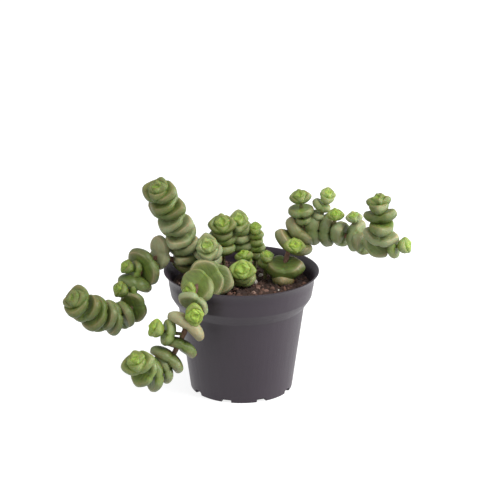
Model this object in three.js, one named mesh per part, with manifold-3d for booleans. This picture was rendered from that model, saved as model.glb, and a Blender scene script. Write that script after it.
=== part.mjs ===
// Potted crassula: a nursery pot, its soil and a trailing plant with thick leaf pairs stacked on thin stems.
// Millimetres, +Z up. The origin is the centre of the pot's flat underside, and -Y is the front.

import * as THREE from 'three';
import { mergeVertices } from 'three/addons/utils/BufferGeometryUtils.js';
import Module from 'manifold-3d';

const wasm = await Module();
wasm.setup();

// ---- Driving dimensions ----

const CLEARANCE = 0.3; // gap between neighbouring pieces
const WELD = 1e-4; // corners nearer than this are one corner

const POT_HEIGHT = 67;
const POT_LIP_RADIUS = 42.5;
const POT_BASE_RADIUS = 28;
const POT_WALL = 1.1;
const POT_FLOOR = 1.6;
const LIP_HEIGHT = 7; // the flared lip, from the rim down to the skirt
const LIP_FLARE = 2.9;
const LIP_CURL = 2.6; // height below the rim where the lip turns outwards
const SKIRT_HEIGHT = 6.5; // the nearly straight band under the lip
const SKIRT_TAPER = 1.1;
const SHOULDER_HEIGHT = 8.5; // the rounded step from the skirt in to the body
const SHOULDER_STEP = 4.4;
const SHOULDER_ROUNDING = [[0.1, 0.3], [0.55, 0.62]]; // places the step passes, as shares of its size
const SHOULDER_FACETS = 4;
const LIP_FACETS = 3;
const NOTCH_COUNT = 9; // drainage notches round the edge of the base
const NOTCH_WIDTH = 5.5;
const NOTCH_HEIGHT = 2.2;
const NOTCH_DEPTH = 3.4;
const NOTCH_TURN = 23; // degrees from the front to the first notch
const ROUND_SIDES = 32; // facets round the pot, and round the soil so that the two line up

const SOIL_DEPTH_BELOW_RIM = 8;
const SOIL_DOME = 1.2; // how much higher the soil stands at the centre
const SOIL_DOME_RADIUS = 24; // where it stands half as much higher

const STEM_RADIUS = 1.35;
const STEM_SIDES = 6;
const STEM_STEP = 6; // length of one straight piece of a stem
const FRAME_STEPS = 120; // places along a stem where a leaf can stand
const TWIG_RADIUS = 0.9;
const TWIG_SIDES = 5;
const TWIG_UPTURN = 0.12; // how far a side shoot's tip turns up, as a share of its reach

const LEAF_LENGTH = 20; // a full-grown leaf pair, from tip to tip
const LEAF_WIDTH = 18;
const LEAF_THICKNESS = 5.6;
const LEAF_THICKNESS_SHARE = 0.6; // how much of the thickness shrinks with a smaller leaf
const LEAF_WAIST = 0.14; // how far the outline draws in where the two leaves meet
const LEAF_WAIST_SPAN = 0.28;
const LEAF_FULLNESS = 0.82; // below 1 the outline is blunter than an ellipse
const LEAF_TOP_SHARE = 0.8; // the upper side is flatter than the keeled underside
const LEAF_UNDER_SHARE = 1.2;
const LEAF_BEND = 22; // degrees that each leaf of an old pair curls up by
const LEAF_SIDES = 8;
const LEAF_RINGS = 6;

const SMALL_LEAF_SIDES = 6;
const SMALL_LEAF_RINGS = 4;

// The crown at a shoot's tip: each pair is smaller than the one below it and curls up more.
const CROWN_SHRINK = 0.79;
const CROWN_RISE = 0.16; // distance between pairs, as a share of the pair's length
const CROWN_BENDS = [38, 62, 84, 104]; // degrees
const SMALL_CROWN = 3; // pairs in the crown of a short shoot
const OPEN_GROWTH = 0.1; // how much larger each open pair is than the one above it
const SIDE_GROWTH = 0.25; // the same on a side shoot
const SIDE_PITCH = 11; // distance between a side shoot's open pairs, for full-grown leaves
const PAIR_TURN = 90; // degrees from each pair round to the next

// ---- Shoots ----
// Stem routes are drawn from the centre of the rim, for a pot with this lip radius, and spread with the real
// one. Each leaf pair has its distance along the stem, which spreads too, and its size against a full pair.

const DRAWN_LIP_RADIUS = 42.5;
const SPREAD = POT_LIP_RADIUS / DRAWN_LIP_RADIUS;

const SHOOTS = [
  {
    name: 'left_upright',
    route: [[-26, 10, -16], [-28, 9, -5], [-30, 7, 7], [-32, 4, 16], [-35, 0, 25], [-39, -7, 36],
      [-42, -14, 46], [-45, -20, 54]],
    roll: 60,
    pairs: [[16, 0.9], [22, 0.95], [29, 1], [36.5, 1.02], [44, 1.02], [51.5, 1]],
    tip: { at: 59, open: 2, pitch: 6.5, crown: 4, size: 0.86 },
    young: 0.45,
  },
  {
    name: 'left_trailing',
    route: [[-24, 4, -16], [-30, 5, -4], [-37, 4, 4], [-46, 2, 6], [-53, -1, 2], [-58, -5, -7], [-58, -9, -16],
      [-64, -14, -21], [-72, -21, -20], [-80, -30, -13], [-87, -38, -4], [-95, -47, 9]],
    roll: 20,
    pairs: [[31, 0.9], [42, 1.05], [52.5, 0.9], [64.5, 0.8], [73, 0.95], [80, 0.98], [87, 0.98]],
    tip: { at: 94, open: 2, pitch: 7.5, crown: 4, size: 0.82 },
    young: 0.4,
  },
  {
    name: 'front_trailing',
    route: [[-4, 0, -16], [-6, -5, -6], [-10, -13, -0.5], [-17, -22, 2.5], [-22, -32, 3.8], [-25, -41, 0],
      [-26, -47, -7], [-29, -47, -16], [-33, -48, -25], [-38, -49, -34], [-43, -52, -39], [-50, -58, -36],
      [-57, -69, -20]],
    roll: 60,
    pairs: [[30, 1], [37, 1.02], [47, 0.92], [58.5, 0.75], [70, 0.95], [83, 0.78], [92, 0.98], [99, 0.85]],
    tip: { at: 106, open: 2, pitch: 7, crown: 4, size: 0.78 },
    young: 0.5,
  },
  {
    name: 'right_arching',
    route: [[22, 2, -16], [23, 1, -6], [24, 2, 4], [28, 4, 14], [33, 7, 20], [41, 8, 21], [50, 6, 20],
      [59, 1, 18], [67, -8, 17], [72.5, -17, 21], [74, -21, 30], [73, -21, 40], [71, -23, 51]],
    roll: 80,
    pairs: [[10.5, 0.85], [16, 1.02], [31, 0.98], [38.8, 0.88], [46, 0.78], [54, 0.8], [62, 0.8], [70, 0.76],
      [77, 0.7], [88.5, 0.8], [96.5, 0.9]],
    tip: { at: 103, open: 2, pitch: 5.6, crown: 4, size: 0.74 },
    young: 0.35,
  },
];

// ---- Side shoots ----
// Each leaves its stem at a distance along it and heads the way given for its reach. Its crown is at the tip,
// and its open pairs are spaced below it.

const SIDE_SHOOTS = [
  { stem: 'left_trailing', at: 46, way: [-8, -4, 4], reach: 8, size: 0.44, open: 1 },
  { stem: 'left_trailing', at: 57, way: [-8, -5, 2], reach: 8.5, size: 0.5, open: 1 },
  { stem: 'front_trailing', at: 50, way: [-7, -8, -2], reach: 5, size: 0.44, open: 0 },
  { stem: 'front_trailing', at: 64, way: [2, -9, -1], reach: 6, size: 0.56, open: 0 },
  { stem: 'front_trailing', at: 78, way: [-14, -4, 3.5], reach: 15, size: 0.56, open: 1 },
  { stem: 'right_arching', at: 28, way: [2, -7, 4], reach: 8, size: 0.42, open: 0 },
  { stem: 'right_arching', at: 40.5, way: [-2, -3, 19], reach: 18, size: 0.5, open: 2 },
  { stem: 'right_arching', at: 48, way: [6, -2, 19], reach: 18, size: 0.48, open: 2 },
  { stem: 'right_arching', at: 57, way: [1, -8, 12], reach: 12, size: 0.4, open: 0 },
  { stem: 'right_arching', at: 69, way: [1, -2, 14], reach: 11, size: 0.38, open: 0 },
  { stem: 'right_arching', at: 89, way: [17, -7, 0], reach: 16, size: 0.5, open: 1 },
];

// ---- Centre shoots ----
// Short shoots that rise from the soil: routes as above, each joined with its leaves as one piece.

const CENTRE_SHOOTS = [
  { route: [[-9, 14, -15], [-10, 13, 5], [-10.5, 10, 18], [-10.5, 3, 26]], size: 0.66, open: 3, pitch: 5.5 },
  { route: [[0, 19, -15], [0, 18, 5], [-1, 15, 18], [-1.5, 9, 26]], size: 0.6, open: 3, pitch: 5.5 },
  { route: [[7, 17, -15], [8, 17, 4], [8, 15, 14], [7.5, 12, 21]], size: 0.38, open: 1, pitch: 4 },
  { route: [[-15, 8, -15], [-16, 7, -2], [-18, 4, 8], [-18.5, -4, 15]], size: 0.7, open: 2, pitch: 5.5 },
  { route: [[0, -2, -15], [0, -5, -5], [0.5, -9, 1], [0.5, -17, 6]], size: 0.62, open: 2, pitch: 5 },
  { route: [[4, 7, -15], [3, 6, -2], [1, 4, 8]], size: 0.42, open: 1, pitch: 4 },
  { route: [[13, 4, -15], [13, 3, -2], [14, 0, 9]], size: 0.4, open: 1, pitch: 4 },
];

// ---- How leaf pairs stray from the even stack ----
// By piece, from its lowest pair up: the way a pair faces, the way its leaves point, how much larger it is and
// how far it stands from its place on the stem.

const STRAYS = {
  left_upright_pair_1: [{ up: [0.15, -0.3, 0.95], aim: [1, 0, -0.1] }],
  left_upright_pair_3: [{ up: [-0.4, -0.3, 0.85] }],
  left_upright_pair_4: [{ up: [-0.12, -0.5, 0.86], grown: 1.03 }],
  left_upright_pair_6: [{ up: [-0.4, -0.58, 0.7] }],
  left_trailing_pair_1: [{ up: [-0.75, -0.62, 0.1], aim: [-0.15, 0, 1], shift: [-1, 0, 3] }],
  left_trailing_pair_2: [{ up: [-0.6, -0.72, -0.2], aim: [0.73, 0, -0.68] }],
  left_trailing_pair_3: [{ up: [-0.3, -0.15, -0.92], aim: [0.92, 0, -0.38] }],
  left_trailing_pair_4: [{ up: [-0.3, -0.9, -0.1], aim: [0.3, 0, -0.95], grown: 1.1, shift: [0, 0, -1] }],
  left_trailing_pair_6: [{ up: [-0.8, -0.6, 0.1], grown: 0.96 }],
  front_trailing_pair_1: [{ up: [0.15, -0.92, 0.4], aim: [0.9, 0, -0.4], grown: 1.04 }],
  front_trailing_pair_2: [{ up: [-0.05, -0.9, 0.45], aim: [-0.5, 0, 0.9], grown: 1.04 }],
  front_trailing_pair_3: [{ up: [-0.45, -0.7, 0.5], aim: [0.75, 0, -0.6], grown: 1.1, shift: [0, -0.5, -1] }],
  front_trailing_pair_4: [
    { up: [-0.4, -0.7, -0.45], aim: [0.85, 0, -0.5], grown: 1.1, shift: [0.5, 0, -1.5] },
  ],
  front_trailing_pair_5: [
    { up: [-0.6, -0.25, -0.76], aim: [0.79, 0, -0.62], grown: 1.12, shift: [-0.8, 0, -2] },
  ],
  front_trailing_pair_6: [{ up: [-0.45, -0.4, -0.8], aim: [0.88, 0, -0.45], grown: 1.12, shift: [1, 0, -2] }],
  front_trailing_pair_7: [{ up: [-0.6, -0.3, -0.72], aim: [0.77, 0, -0.64], shift: [-2, 0, -0.5] }],
  front_trailing_pair_8: [{ up: [-0.88, -0.4, -0.3], aim: [0.35, 0, -0.93], grown: 0.95 }],
  front_trailing_tip: [
    { up: [-0.85, -0.5, -0.05], aim: [0.1, 0, -1] },
    { up: [-0.55, -0.72, 0.42], aim: [-0.3, 0, -0.9] },
  ],
  right_arching_pair_2: [{ up: [0.05, -0.4, 0.92], aim: [1, 0, 0], shift: [0, 0, 0.8] }],
  right_arching_pair_3: [{ up: [0.5, -0.15, 0.85], aim: [0.85, 0, -0.53], grown: 1.06 }],
  right_arching_pair_4: [{ up: [0.62, -0.2, 0.75], aim: [0.8, 0, -0.6], grown: 1.06 }],
  right_arching_pair_5: [{ aim: [0.1, 0, -1], grown: 1.12 }],
  right_arching_pair_6: [{ up: [0.9, -0.42, -0.1], aim: [0, 0, -1], grown: 1.12 }],
  right_arching_pair_7: [{ up: [0.8, -0.6, -0.1], grown: 1.1 }],
  right_arching_pair_8: [{ up: [0.85, -0.5, 0.1], grown: 1.1, shift: [1.5, 0, 2] }],
  right_arching_pair_9: [{ grown: 1.1 }],
  right_arching_pair_10: [{ up: [0.3, -0.9, 0.35], aim: [0.6, 0, -0.8] }],
  right_arching_tip: [{ up: [0.05, -0.2, 0.98] }],
  right_arching_side_1: [
    { grown: 1.2, shift: [0, 0, -1.2] },
    { grown: 1.2, shift: [0, 0, -1.2] },
    { grown: 1.2, shift: [0, 0, -1.2] },
  ],
  right_arching_side_2: [
    { grown: 0.6, shift: [1, 0, -2] },
    { aim: [0.95, 0, -0.3], grown: 1.08, shift: [0, 0, -2] },
  ],
  right_arching_side_3: [
    { grown: 0.55, shift: [-2.2, 0, -0.5] },
    { up: [0.5, -0.1, 0.86], aim: [0.86, 0, -0.5], grown: 0.85, shift: [-1.8, 0, 0] },
  ],
};

// ---- Colours ----

const POT_COLOUR = 0x57525c;
const SOIL_COLOUR = 0x3a2419;
const STEM_COLOUR = 0x6b4a35;
const STEM_ROUGHNESS = 0.8;
const POT_ROUGHNESS = 0.45;
const SOIL_ROUGHNESS = 0.95;
const OLD_LEAF_COLOUR = 0x7d8a5a;
const YOUNG_LEAF_COLOUR = 0x8fb84a;
const LEAF_ROUGHNESS = 0.5;
const TIP_YOUTH = 0.3; // how far towards the young colour a tip is from the leaves below it
const CENTRE_YOUTH = 0.75;
const SIDE_YOUTH = 0.9;

// ---- Solids: joining and cutting ----

function toSolid(geometry) {
  const bare = geometry.clone();
  bare.deleteAttribute('normal');
  bare.deleteAttribute('uv');
  const closed = mergeVertices(bare, WELD);
  const mesh = new wasm.Mesh({
    numProp: 3,
    vertProperties: new Float32Array(closed.attributes.position.array),
    triVerts: new Uint32Array(closed.index.array),
  });
  return new wasm.Manifold(mesh);
}

function toGeometry(solid) {
  const mesh = solid.getMesh();
  const geometry = new THREE.BufferGeometry();
  geometry.setAttribute('position', new THREE.BufferAttribute(mesh.vertProperties, 3));
  geometry.setIndex(new THREE.BufferAttribute(mesh.triVerts, 1));
  return geometry;
}

function joined(solids) {
  return solids.reduce((whole, solid) => whole.add(solid));
}

function boxesMeet(solid, other) {
  const a = solid.boundingBox();
  const b = other.boundingBox();
  return [0, 1, 2].every((axis) => a.min[axis] < b.max[axis] && b.min[axis] < a.max[axis]);
}

// Takes the grown neighbours away from a solid and keeps the largest body that is left.
function clearOf(solid, neighbours) {
  let rest = solid;
  for (const neighbour of neighbours) {
    if (boxesMeet(rest, neighbour)) {
      rest = rest.subtract(neighbour);
    }
  }
  const bodies = rest.decompose();
  return bodies.reduce((largest, body) => (body.volume() > largest.volume() ? body : largest));
}

// ---- Stems ----

function stemCurve(route) {
  const points = route.map(([x, y, z]) => new THREE.Vector3(x, y, z).multiplyScalar(SPREAD));
  points.forEach((point) => {
    point.z += POT_HEIGHT;
  });
  return new THREE.CatmullRomCurve3(points, false, 'centripetal');
}

// The part of a curve from one distance to another, as a curve of its own.
function curvePart(curve, from, to) {
  const length = curve.getLength();
  const steps = Math.max(2, Math.ceil((to - from) / STEM_STEP));
  const points = [];
  for (let i = 0; i <= steps; i += 1) {
    points.push(curve.getPointAt(Math.min((from + ((to - from) * i) / steps) / length, 1)));
  }
  return new THREE.CatmullRomCurve3(points, false, 'centripetal');
}

function stemSolid(curve, radius, sides) {
  const section = new THREE.Shape();
  for (let i = 0; i < sides; i += 1) {
    const angle = (i / sides) * 2 * Math.PI;
    const corner = new THREE.Vector2(Math.cos(angle), Math.sin(angle)).multiplyScalar(radius);
    if (i === 0) {
      section.moveTo(corner.x, corner.y);
    } else {
      section.lineTo(corner.x, corner.y);
    }
  }
  section.closePath();
  const steps = Math.max(2, Math.ceil(curve.getLength() / STEM_STEP));
  return toSolid(new THREE.ExtrudeGeometry(section, { steps, bevelEnabled: false, extrudePath: curve }));
}

// A side shoot's stalk, which leaves its stem the way given and turns up a little towards its tip.
function twigCurve(curve, at, way, reach) {
  const origin = curve.getPointAt((at * SPREAD) / curve.getLength());
  const heading = new THREE.Vector3(...way).normalize();
  const start = origin.clone().addScaledVector(heading, STEM_RADIUS + 2 * CLEARANCE);
  const middle = start.clone().addScaledVector(heading, reach / 2);
  const end = start.clone().addScaledVector(heading, reach);
  end.z += TWIG_UPTURN * reach;
  return new THREE.CatmullRomCurve3([start, middle, end], false, 'centripetal');
}

// The direction frame at a distance along a curve: Z along the stem, X turned about it by the roll. A leaf pair
// that has no room left on its stalk stands at the stalk's foot.
function frameAt(curve, distance, roll) {
  const share = THREE.MathUtils.clamp(distance / curve.getLength(), 0, 1);
  const frames = curve.computeFrenetFrames(FRAME_STEPS, false);
  const i = Math.round(share * FRAME_STEPS);
  const basis = new THREE.Matrix4().makeBasis(frames.normals[i], frames.binormals[i], frames.tangents[i]);
  const turn = new THREE.Matrix4().makeRotationZ(THREE.MathUtils.degToRad(roll));
  return basis.multiply(turn).setPosition(curve.getPointAt(share));
}

// ---- Leaves ----

// One leaf pair grown together round its stem, with its long way along X and its stem along Z.
// A sphere's poles become the two leaf tips, and each leaf then curls up along an arc.
function leafPairGeometry({ length, width, thickness, bend, sides, rings, grow = 0 }) {
  const geometry = new THREE.SphereGeometry(1, sides, rings);
  const position = geometry.attributes.position;
  const half = length / 2 + grow;
  const curl = THREE.MathUtils.degToRad(bend);
  for (let i = 0; i < position.count; i += 1) {
    const along = position.getY(i);
    const reach = Math.abs(along);
    const ring = Math.sqrt(Math.max(0, 1 - reach * reach));
    const fullness = ring > WELD ? ring ** (LEAF_FULLNESS - 1) : 0;
    const waist = 1 - LEAF_WAIST * Math.exp(-((reach / LEAF_WAIST_SPAN) ** 2));
    const across = -position.getX(i) * fullness * waist * (width / 2 + grow);
    const up = position.getZ(i) * fullness;
    const share = up > 0 ? LEAF_TOP_SHARE : LEAF_UNDER_SHARE;
    const rise = up * (share * thickness / 2 + grow);
    const angle = curl * reach;
    const arcX = (half / curl) * Math.sin(angle) - rise * Math.sin(angle);
    const arcZ = (half / curl) * (1 - Math.cos(angle)) + rise * Math.cos(angle);
    position.setXYZ(i, Math.sign(along) * arcX, across, arcZ);
  }
  return geometry;
}

function leafPairSolid(frame, shape) {
  const geometry = leafPairGeometry(shape);
  geometry.applyMatrix4(frame);
  return toSolid(geometry);
}

function leafShape(size, bend, small) {
  return {
    length: LEAF_LENGTH * size,
    width: LEAF_WIDTH * size,
    thickness: LEAF_THICKNESS * (1 - LEAF_THICKNESS_SHARE + LEAF_THICKNESS_SHARE * size),
    bend,
    sides: small ? SMALL_LEAF_SIDES : LEAF_SIDES,
    rings: small ? SMALL_LEAF_RINGS : LEAF_RINGS,
  };
}

// A leaf pair turned, grown and shifted its own way.
function strayed({ frame, shape }, { up, aim, grown = 1, shift = [0, 0, 0] } = {}) {
  const x = new THREE.Vector3();
  const y = new THREE.Vector3();
  const z = new THREE.Vector3();
  frame.extractBasis(x, y, z);
  z.set(...(up ?? z)).normalize();
  x.set(...(aim ?? x)).projectOnPlane(z).normalize();
  y.crossVectors(z, x);
  const place = new THREE.Vector3().setFromMatrixPosition(frame).add(new THREE.Vector3(...shift));
  const own = { length: shape.length * grown, width: shape.width * grown, thickness: shape.thickness * grown };
  return { frame: new THREE.Matrix4().makeBasis(x, y, z).setPosition(place), shape: { ...shape, ...own } };
}

// The frames and shapes of a shoot's top leaves: open pairs from a distance up, then a crown that closes in.
function topPairs(curve, { at, open, pitch, crown, size, roll, small, growth = OPEN_GROWTH }) {
  const list = [];
  for (let i = 0; i < open; i += 1) {
    const shape = leafShape(size * (1 + growth * (open - i)), LEAF_BEND, small);
    list.push({ frame: frameAt(curve, at + pitch * i, roll + PAIR_TURN * i), shape });
  }
  let distance = at + pitch * open;
  let scale = size;
  for (let i = 0; i < crown; i += 1) {
    const shape = leafShape(scale, CROWN_BENDS[i], small);
    list.push({ frame: frameAt(curve, distance, roll + PAIR_TURN * (open + i)), shape });
    distance += CROWN_RISE * LEAF_LENGTH * scale;
    scale *= CROWN_SHRINK;
  }
  return list;
}

function crownHeight(size, crown) {
  let height = 0;
  for (let i = 0; i < crown - 1; i += 1) {
    height += CROWN_RISE * LEAF_LENGTH * size * CROWN_SHRINK ** i;
  }
  return height;
}

// The leaves of a short shoot, spaced down from the end of its curve.
function shortShootPairs(curve, { size, open, pitch, growth }) {
  const at = curve.getLength() - crownHeight(size, SMALL_CROWN) - pitch * open;
  return topPairs(curve, { at, open, pitch, crown: SMALL_CROWN, size, roll: 0, small: true, growth });
}

// ---- The pot and its soil ----

// Outline of the pot's outside as radius and height, from the base edge up to the rim.
function potOutline() {
  const rim = new THREE.Vector2(POT_LIP_RADIUS, POT_HEIGHT);
  const skirtTop = new THREE.Vector2(rim.x - LIP_FLARE, rim.y - LIP_HEIGHT);
  const skirtFoot = new THREE.Vector2(skirtTop.x - SKIRT_TAPER, skirtTop.y - SKIRT_HEIGHT);
  const bodyTop = new THREE.Vector2(skirtFoot.x - SHOULDER_STEP, skirtFoot.y - SHOULDER_HEIGHT);
  const base = new THREE.Vector2(POT_BASE_RADIUS, 0);
  const shoulder = new THREE.SplineCurve([
    bodyTop,
    ...SHOULDER_ROUNDING.map(([out, up]) => (
      new THREE.Vector2(bodyTop.x + out * SHOULDER_STEP, bodyTop.y + up * SHOULDER_HEIGHT)
    )),
    skirtFoot,
  ]);
  const lip = new THREE.QuadraticBezierCurve(skirtTop, new THREE.Vector2(skirtTop.x, rim.y - LIP_CURL), rim);
  return [base, ...shoulder.getPoints(SHOULDER_FACETS), ...lip.getPoints(LIP_FACETS)];
}

// Outline of the pot's inside, from the edge of its floor up to the rim.
function insideOutline() {
  const inside = potOutline().map((point) => new THREE.Vector2(point.x - POT_WALL, point.y));
  inside[0].y = POT_FLOOR;
  return inside;
}

// A closed lathe of the pot. The growth thickens its walls and floor on every side.
function potShell(growth) {
  const outside = potOutline().map((point) => new THREE.Vector2(point.x + growth, point.y));
  const inside = insideOutline().map((point) => new THREE.Vector2(point.x - growth, point.y)).reverse();
  const rim = POT_HEIGHT + growth;
  outside[0].y -= growth;
  inside[inside.length - 1].y += growth;
  const cap = [new THREE.Vector2(POT_LIP_RADIUS + growth, rim), new THREE.Vector2(inside[0].x, rim)];
  const start = new THREE.Vector2(0, -growth);
  const end = new THREE.Vector2(0, POT_FLOOR + growth);
  return toSolid(lathe([start, ...outside, ...(growth > 0 ? cap : []), ...inside, end]));
}

// A lathe about Z. LatheGeometry turns its outline about Y, so it is stood up afterwards.
function lathe(profile) {
  const geometry = new THREE.LatheGeometry(profile, ROUND_SIDES);
  geometry.rotateX(Math.PI / 2);
  return geometry;
}

function potSolid() {
  const notches = [];
  for (let i = 0; i < NOTCH_COUNT; i += 1) {
    const notch = new THREE.BoxGeometry(NOTCH_WIDTH, 2 * NOTCH_DEPTH, 2 * NOTCH_HEIGHT);
    notch.translate(0, -POT_BASE_RADIUS, 0);
    notch.rotateZ(THREE.MathUtils.degToRad(NOTCH_TURN + (i * 360) / NOTCH_COUNT));
    notches.push(toSolid(notch));
  }
  return notches.reduce((pot, notch) => pot.subtract(notch), potShell(0));
}

// The soil fills the pot's inside up to a slightly domed top, a clearance away from the walls and the floor.
function soilSolid(growth) {
  const top = POT_HEIGHT - SOIL_DEPTH_BELOW_RIM;
  const gap = CLEARANCE - growth;
  const inside = insideOutline();
  const [foot, ...wall] = inside.filter((point) => point.y < top);
  const profile = [
    new THREE.Vector2(0, foot.y + gap),
    new THREE.Vector2(foot.x - gap, foot.y + gap),
    ...wall.map((point) => new THREE.Vector2(point.x - gap, point.y)),
    new THREE.Vector2(radiusAt(inside, top) - gap, top + growth),
    new THREE.Vector2(SOIL_DOME_RADIUS, top + SOIL_DOME / 2 + growth),
    new THREE.Vector2(0, top + SOIL_DOME + growth),
  ];
  return toSolid(lathe(profile));
}

// An outline's radius at a height.
function radiusAt(outline, height) {
  const i = outline.findIndex((point) => point.y >= height);
  const [below, above] = [outline[i - 1], outline[i]];
  return THREE.MathUtils.mapLinear(height, below.y, above.y, below.x, above.x);
}

// ---- The object ----

const plant = new THREE.Group();

// Adds a solid as a named mesh whose position is its own middle.
function addPiece(name, solid, colour, roughness) {
  const geometry = toGeometry(solid);
  geometry.computeBoundingBox();
  const middle = geometry.boundingBox.getCenter(new THREE.Vector3());
  geometry.translate(-middle.x, -middle.y, -middle.z);
  geometry.computeVertexNormals();
  const material = new THREE.MeshStandardMaterial({ color: colour, roughness, metalness: 0 });
  const mesh = new THREE.Mesh(geometry, material);
  mesh.name = name;
  mesh.position.copy(middle);
  plant.add(mesh);
}

function leafColour(youth) {
  return new THREE.Color(OLD_LEAF_COLOUR).lerp(new THREE.Color(YOUNG_LEAF_COLOUR), youth);
}

// Grown copies of the pot and the soil, and of the plant's pieces as they are placed: later ones keep clear.
const ground = [potShell(CLEARANCE), soilSolid(CLEARANCE)];
const placed = [];

const shoots = SHOOTS.map((shoot) => ({
  ...shoot,
  curve: stemCurve(shoot.route),
  pairs: shoot.pairs.map(([distance, size]) => [distance * SPREAD, size]),
  tip: { ...shoot.tip, at: shoot.tip.at * SPREAD },
}));
const centreShoots = CENTRE_SHOOTS.map((shoot) => ({ ...shoot, curve: stemCurve(shoot.route) }));

for (const { name, curve, tip } of shoots) {
  const stem = curvePart(curve, CLEARANCE, tip.at);
  addPiece(`${name}_stem`, stemSolid(stem, STEM_RADIUS, STEM_SIDES), STEM_COLOUR, STEM_ROUGHNESS);
  placed.push(stemSolid(curvePart(curve, 0, tip.at + CLEARANCE), STEM_RADIUS + CLEARANCE, STEM_SIDES));
}

const buriedStalks = centreShoots.map(({ curve }) => stemSolid(curve, TWIG_RADIUS + CLEARANCE, TWIG_SIDES));
const soil = [...placed, ...buriedStalks].reduce((rest, stem) => rest.subtract(stem), soilSolid(0));
addPiece('pot', potSolid(), POT_COLOUR, POT_ROUGHNESS);
addPiece('soil', soil, SOIL_COLOUR, SOIL_ROUGHNESS);

for (const { name, curve, tip, roll, young, pairs } of shoots) {
  const leaves = topPairs(curve, { ...tip, roll: roll + PAIR_TURN * pairs.length, small: true });
  const core = curvePart(curve, tip.at, tip.at + tip.pitch * tip.open);
  addLeafy(`${name}_tip`, leaves, core, young + TIP_YOUTH);
}

SIDE_SHOOTS.forEach(({ stem, at, way, reach, size, open }, i) => {
  const { curve } = shoots.find((shoot) => shoot.name === stem);
  const twig = twigCurve(curve, at, way, reach);
  const number = SIDE_SHOOTS.slice(0, i + 1).filter((side) => side.stem === stem).length;
  const leaves = shortShootPairs(twig, { size, open, pitch: SIDE_PITCH * size, growth: SIDE_GROWTH });
  addLeafy(`${stem}_side_${number}`, leaves, twig, SIDE_YOUTH);
});

centreShoots.forEach(({ curve, size, open, pitch }, i) => {
  const stalk = curvePart(curve, CLEARANCE, curve.getLength() - CLEARANCE);
  addLeafy(`centre_shoot_${i + 1}`, shortShootPairs(curve, { size, open, pitch }), stalk, CENTRE_YOUTH);
});

for (const { name, curve, pairs, roll, young } of shoots) {
  pairs.forEach(([distance, size], i) => {
    const frame = frameAt(curve, distance, roll + PAIR_TURN * i);
    const shape = leafShape(size, LEAF_BEND, false);
    addLeafy(`${name}_pair_${i + 1}`, [{ frame, shape }], null, (young * i) / pairs.length);
  });
}

// Places one piece made of leaf pairs, joined to each other and to a stalk where it has one.
function addLeafy(name, pairs, stalk, youth) {
  const stalks = stalk ? [stemSolid(stalk, TWIG_RADIUS, TWIG_SIDES)] : [];
  const own = pairs.map((pair, i) => strayed(pair, STRAYS[name]?.[i]));
  const leaves = own.map(({ frame, shape }) => clearOf(leafPairSolid(frame, shape), ground));
  const piece = clearOf(joined([...stalks, ...leaves]), placed);
  addPiece(name, piece, leafColour(youth), LEAF_ROUGHNESS);
  if (stalk) {
    placed.push(stemSolid(stalk, TWIG_RADIUS + CLEARANCE, TWIG_SIDES));
  }
  for (const { frame, shape } of own) {
    placed.push(leafPairSolid(frame, { ...shape, grow: CLEARANCE }));
  }
}

export default plant;
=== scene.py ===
"""A potted crassula: a nursery pot, its soil, and a trailing plant whose thick leaf pairs stack on thin stems.

Metres, +Z up. The origin is the centre of the pot's underside, and -Y is the front."""

import math
import random

import bmesh
import bpy
import numpy as np
from bpy.props import FloatProperty, FloatVectorProperty, IntProperty, PointerProperty
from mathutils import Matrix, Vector, noise


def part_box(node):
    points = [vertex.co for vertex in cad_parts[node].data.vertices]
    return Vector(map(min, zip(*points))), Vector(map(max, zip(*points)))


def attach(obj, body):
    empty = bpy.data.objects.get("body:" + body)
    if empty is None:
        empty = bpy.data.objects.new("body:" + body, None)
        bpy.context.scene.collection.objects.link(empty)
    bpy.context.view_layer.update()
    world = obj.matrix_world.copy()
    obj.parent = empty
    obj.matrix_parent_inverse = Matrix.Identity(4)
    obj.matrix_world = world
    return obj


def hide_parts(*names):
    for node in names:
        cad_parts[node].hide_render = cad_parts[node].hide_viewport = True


bl_info = {
    "name": "Potted Crassula",
    "version": (1, 0, 0),
    "blender": (4, 5, 0),
    "location": "3D View > Sidebar > Crassula",
    "description": "Fine leaves, stems, soil and pot around the packed model of a potted crassula",
    "category": "Add Mesh",
}

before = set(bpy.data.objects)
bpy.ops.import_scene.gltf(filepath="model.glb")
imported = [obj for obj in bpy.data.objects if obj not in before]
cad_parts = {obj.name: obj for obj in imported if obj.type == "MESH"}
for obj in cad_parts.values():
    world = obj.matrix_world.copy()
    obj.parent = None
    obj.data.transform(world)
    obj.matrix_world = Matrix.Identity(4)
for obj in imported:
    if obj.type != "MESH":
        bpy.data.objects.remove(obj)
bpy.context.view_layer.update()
POT_LOW, POT_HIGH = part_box("pot")
SOIL_LOW, SOIL_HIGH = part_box("soil")

MM = 0.001
CLEARANCE = 0.3  # millimetres between neighbouring solids
DRAWN_LIP_RADIUS = 42.5  # the routes below are drawn for this rim, and spread with the real one
SPREAD = POT_HIGH.x / (DRAWN_LIP_RADIUS * MM)
LEAF_LENGTH = 20  # a full-grown leaf pair from tip to tip
PAIR_TURN = 90  # degrees from each leaf pair round to the next

# ---- Shoots ----
# Routes are in millimetres from the centre of the rim. Each leaf pair has its distance along the stem and its
# size. The leaves down a stem and those in its crown each have a point, from 0 for round leaves to 1.

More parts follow.
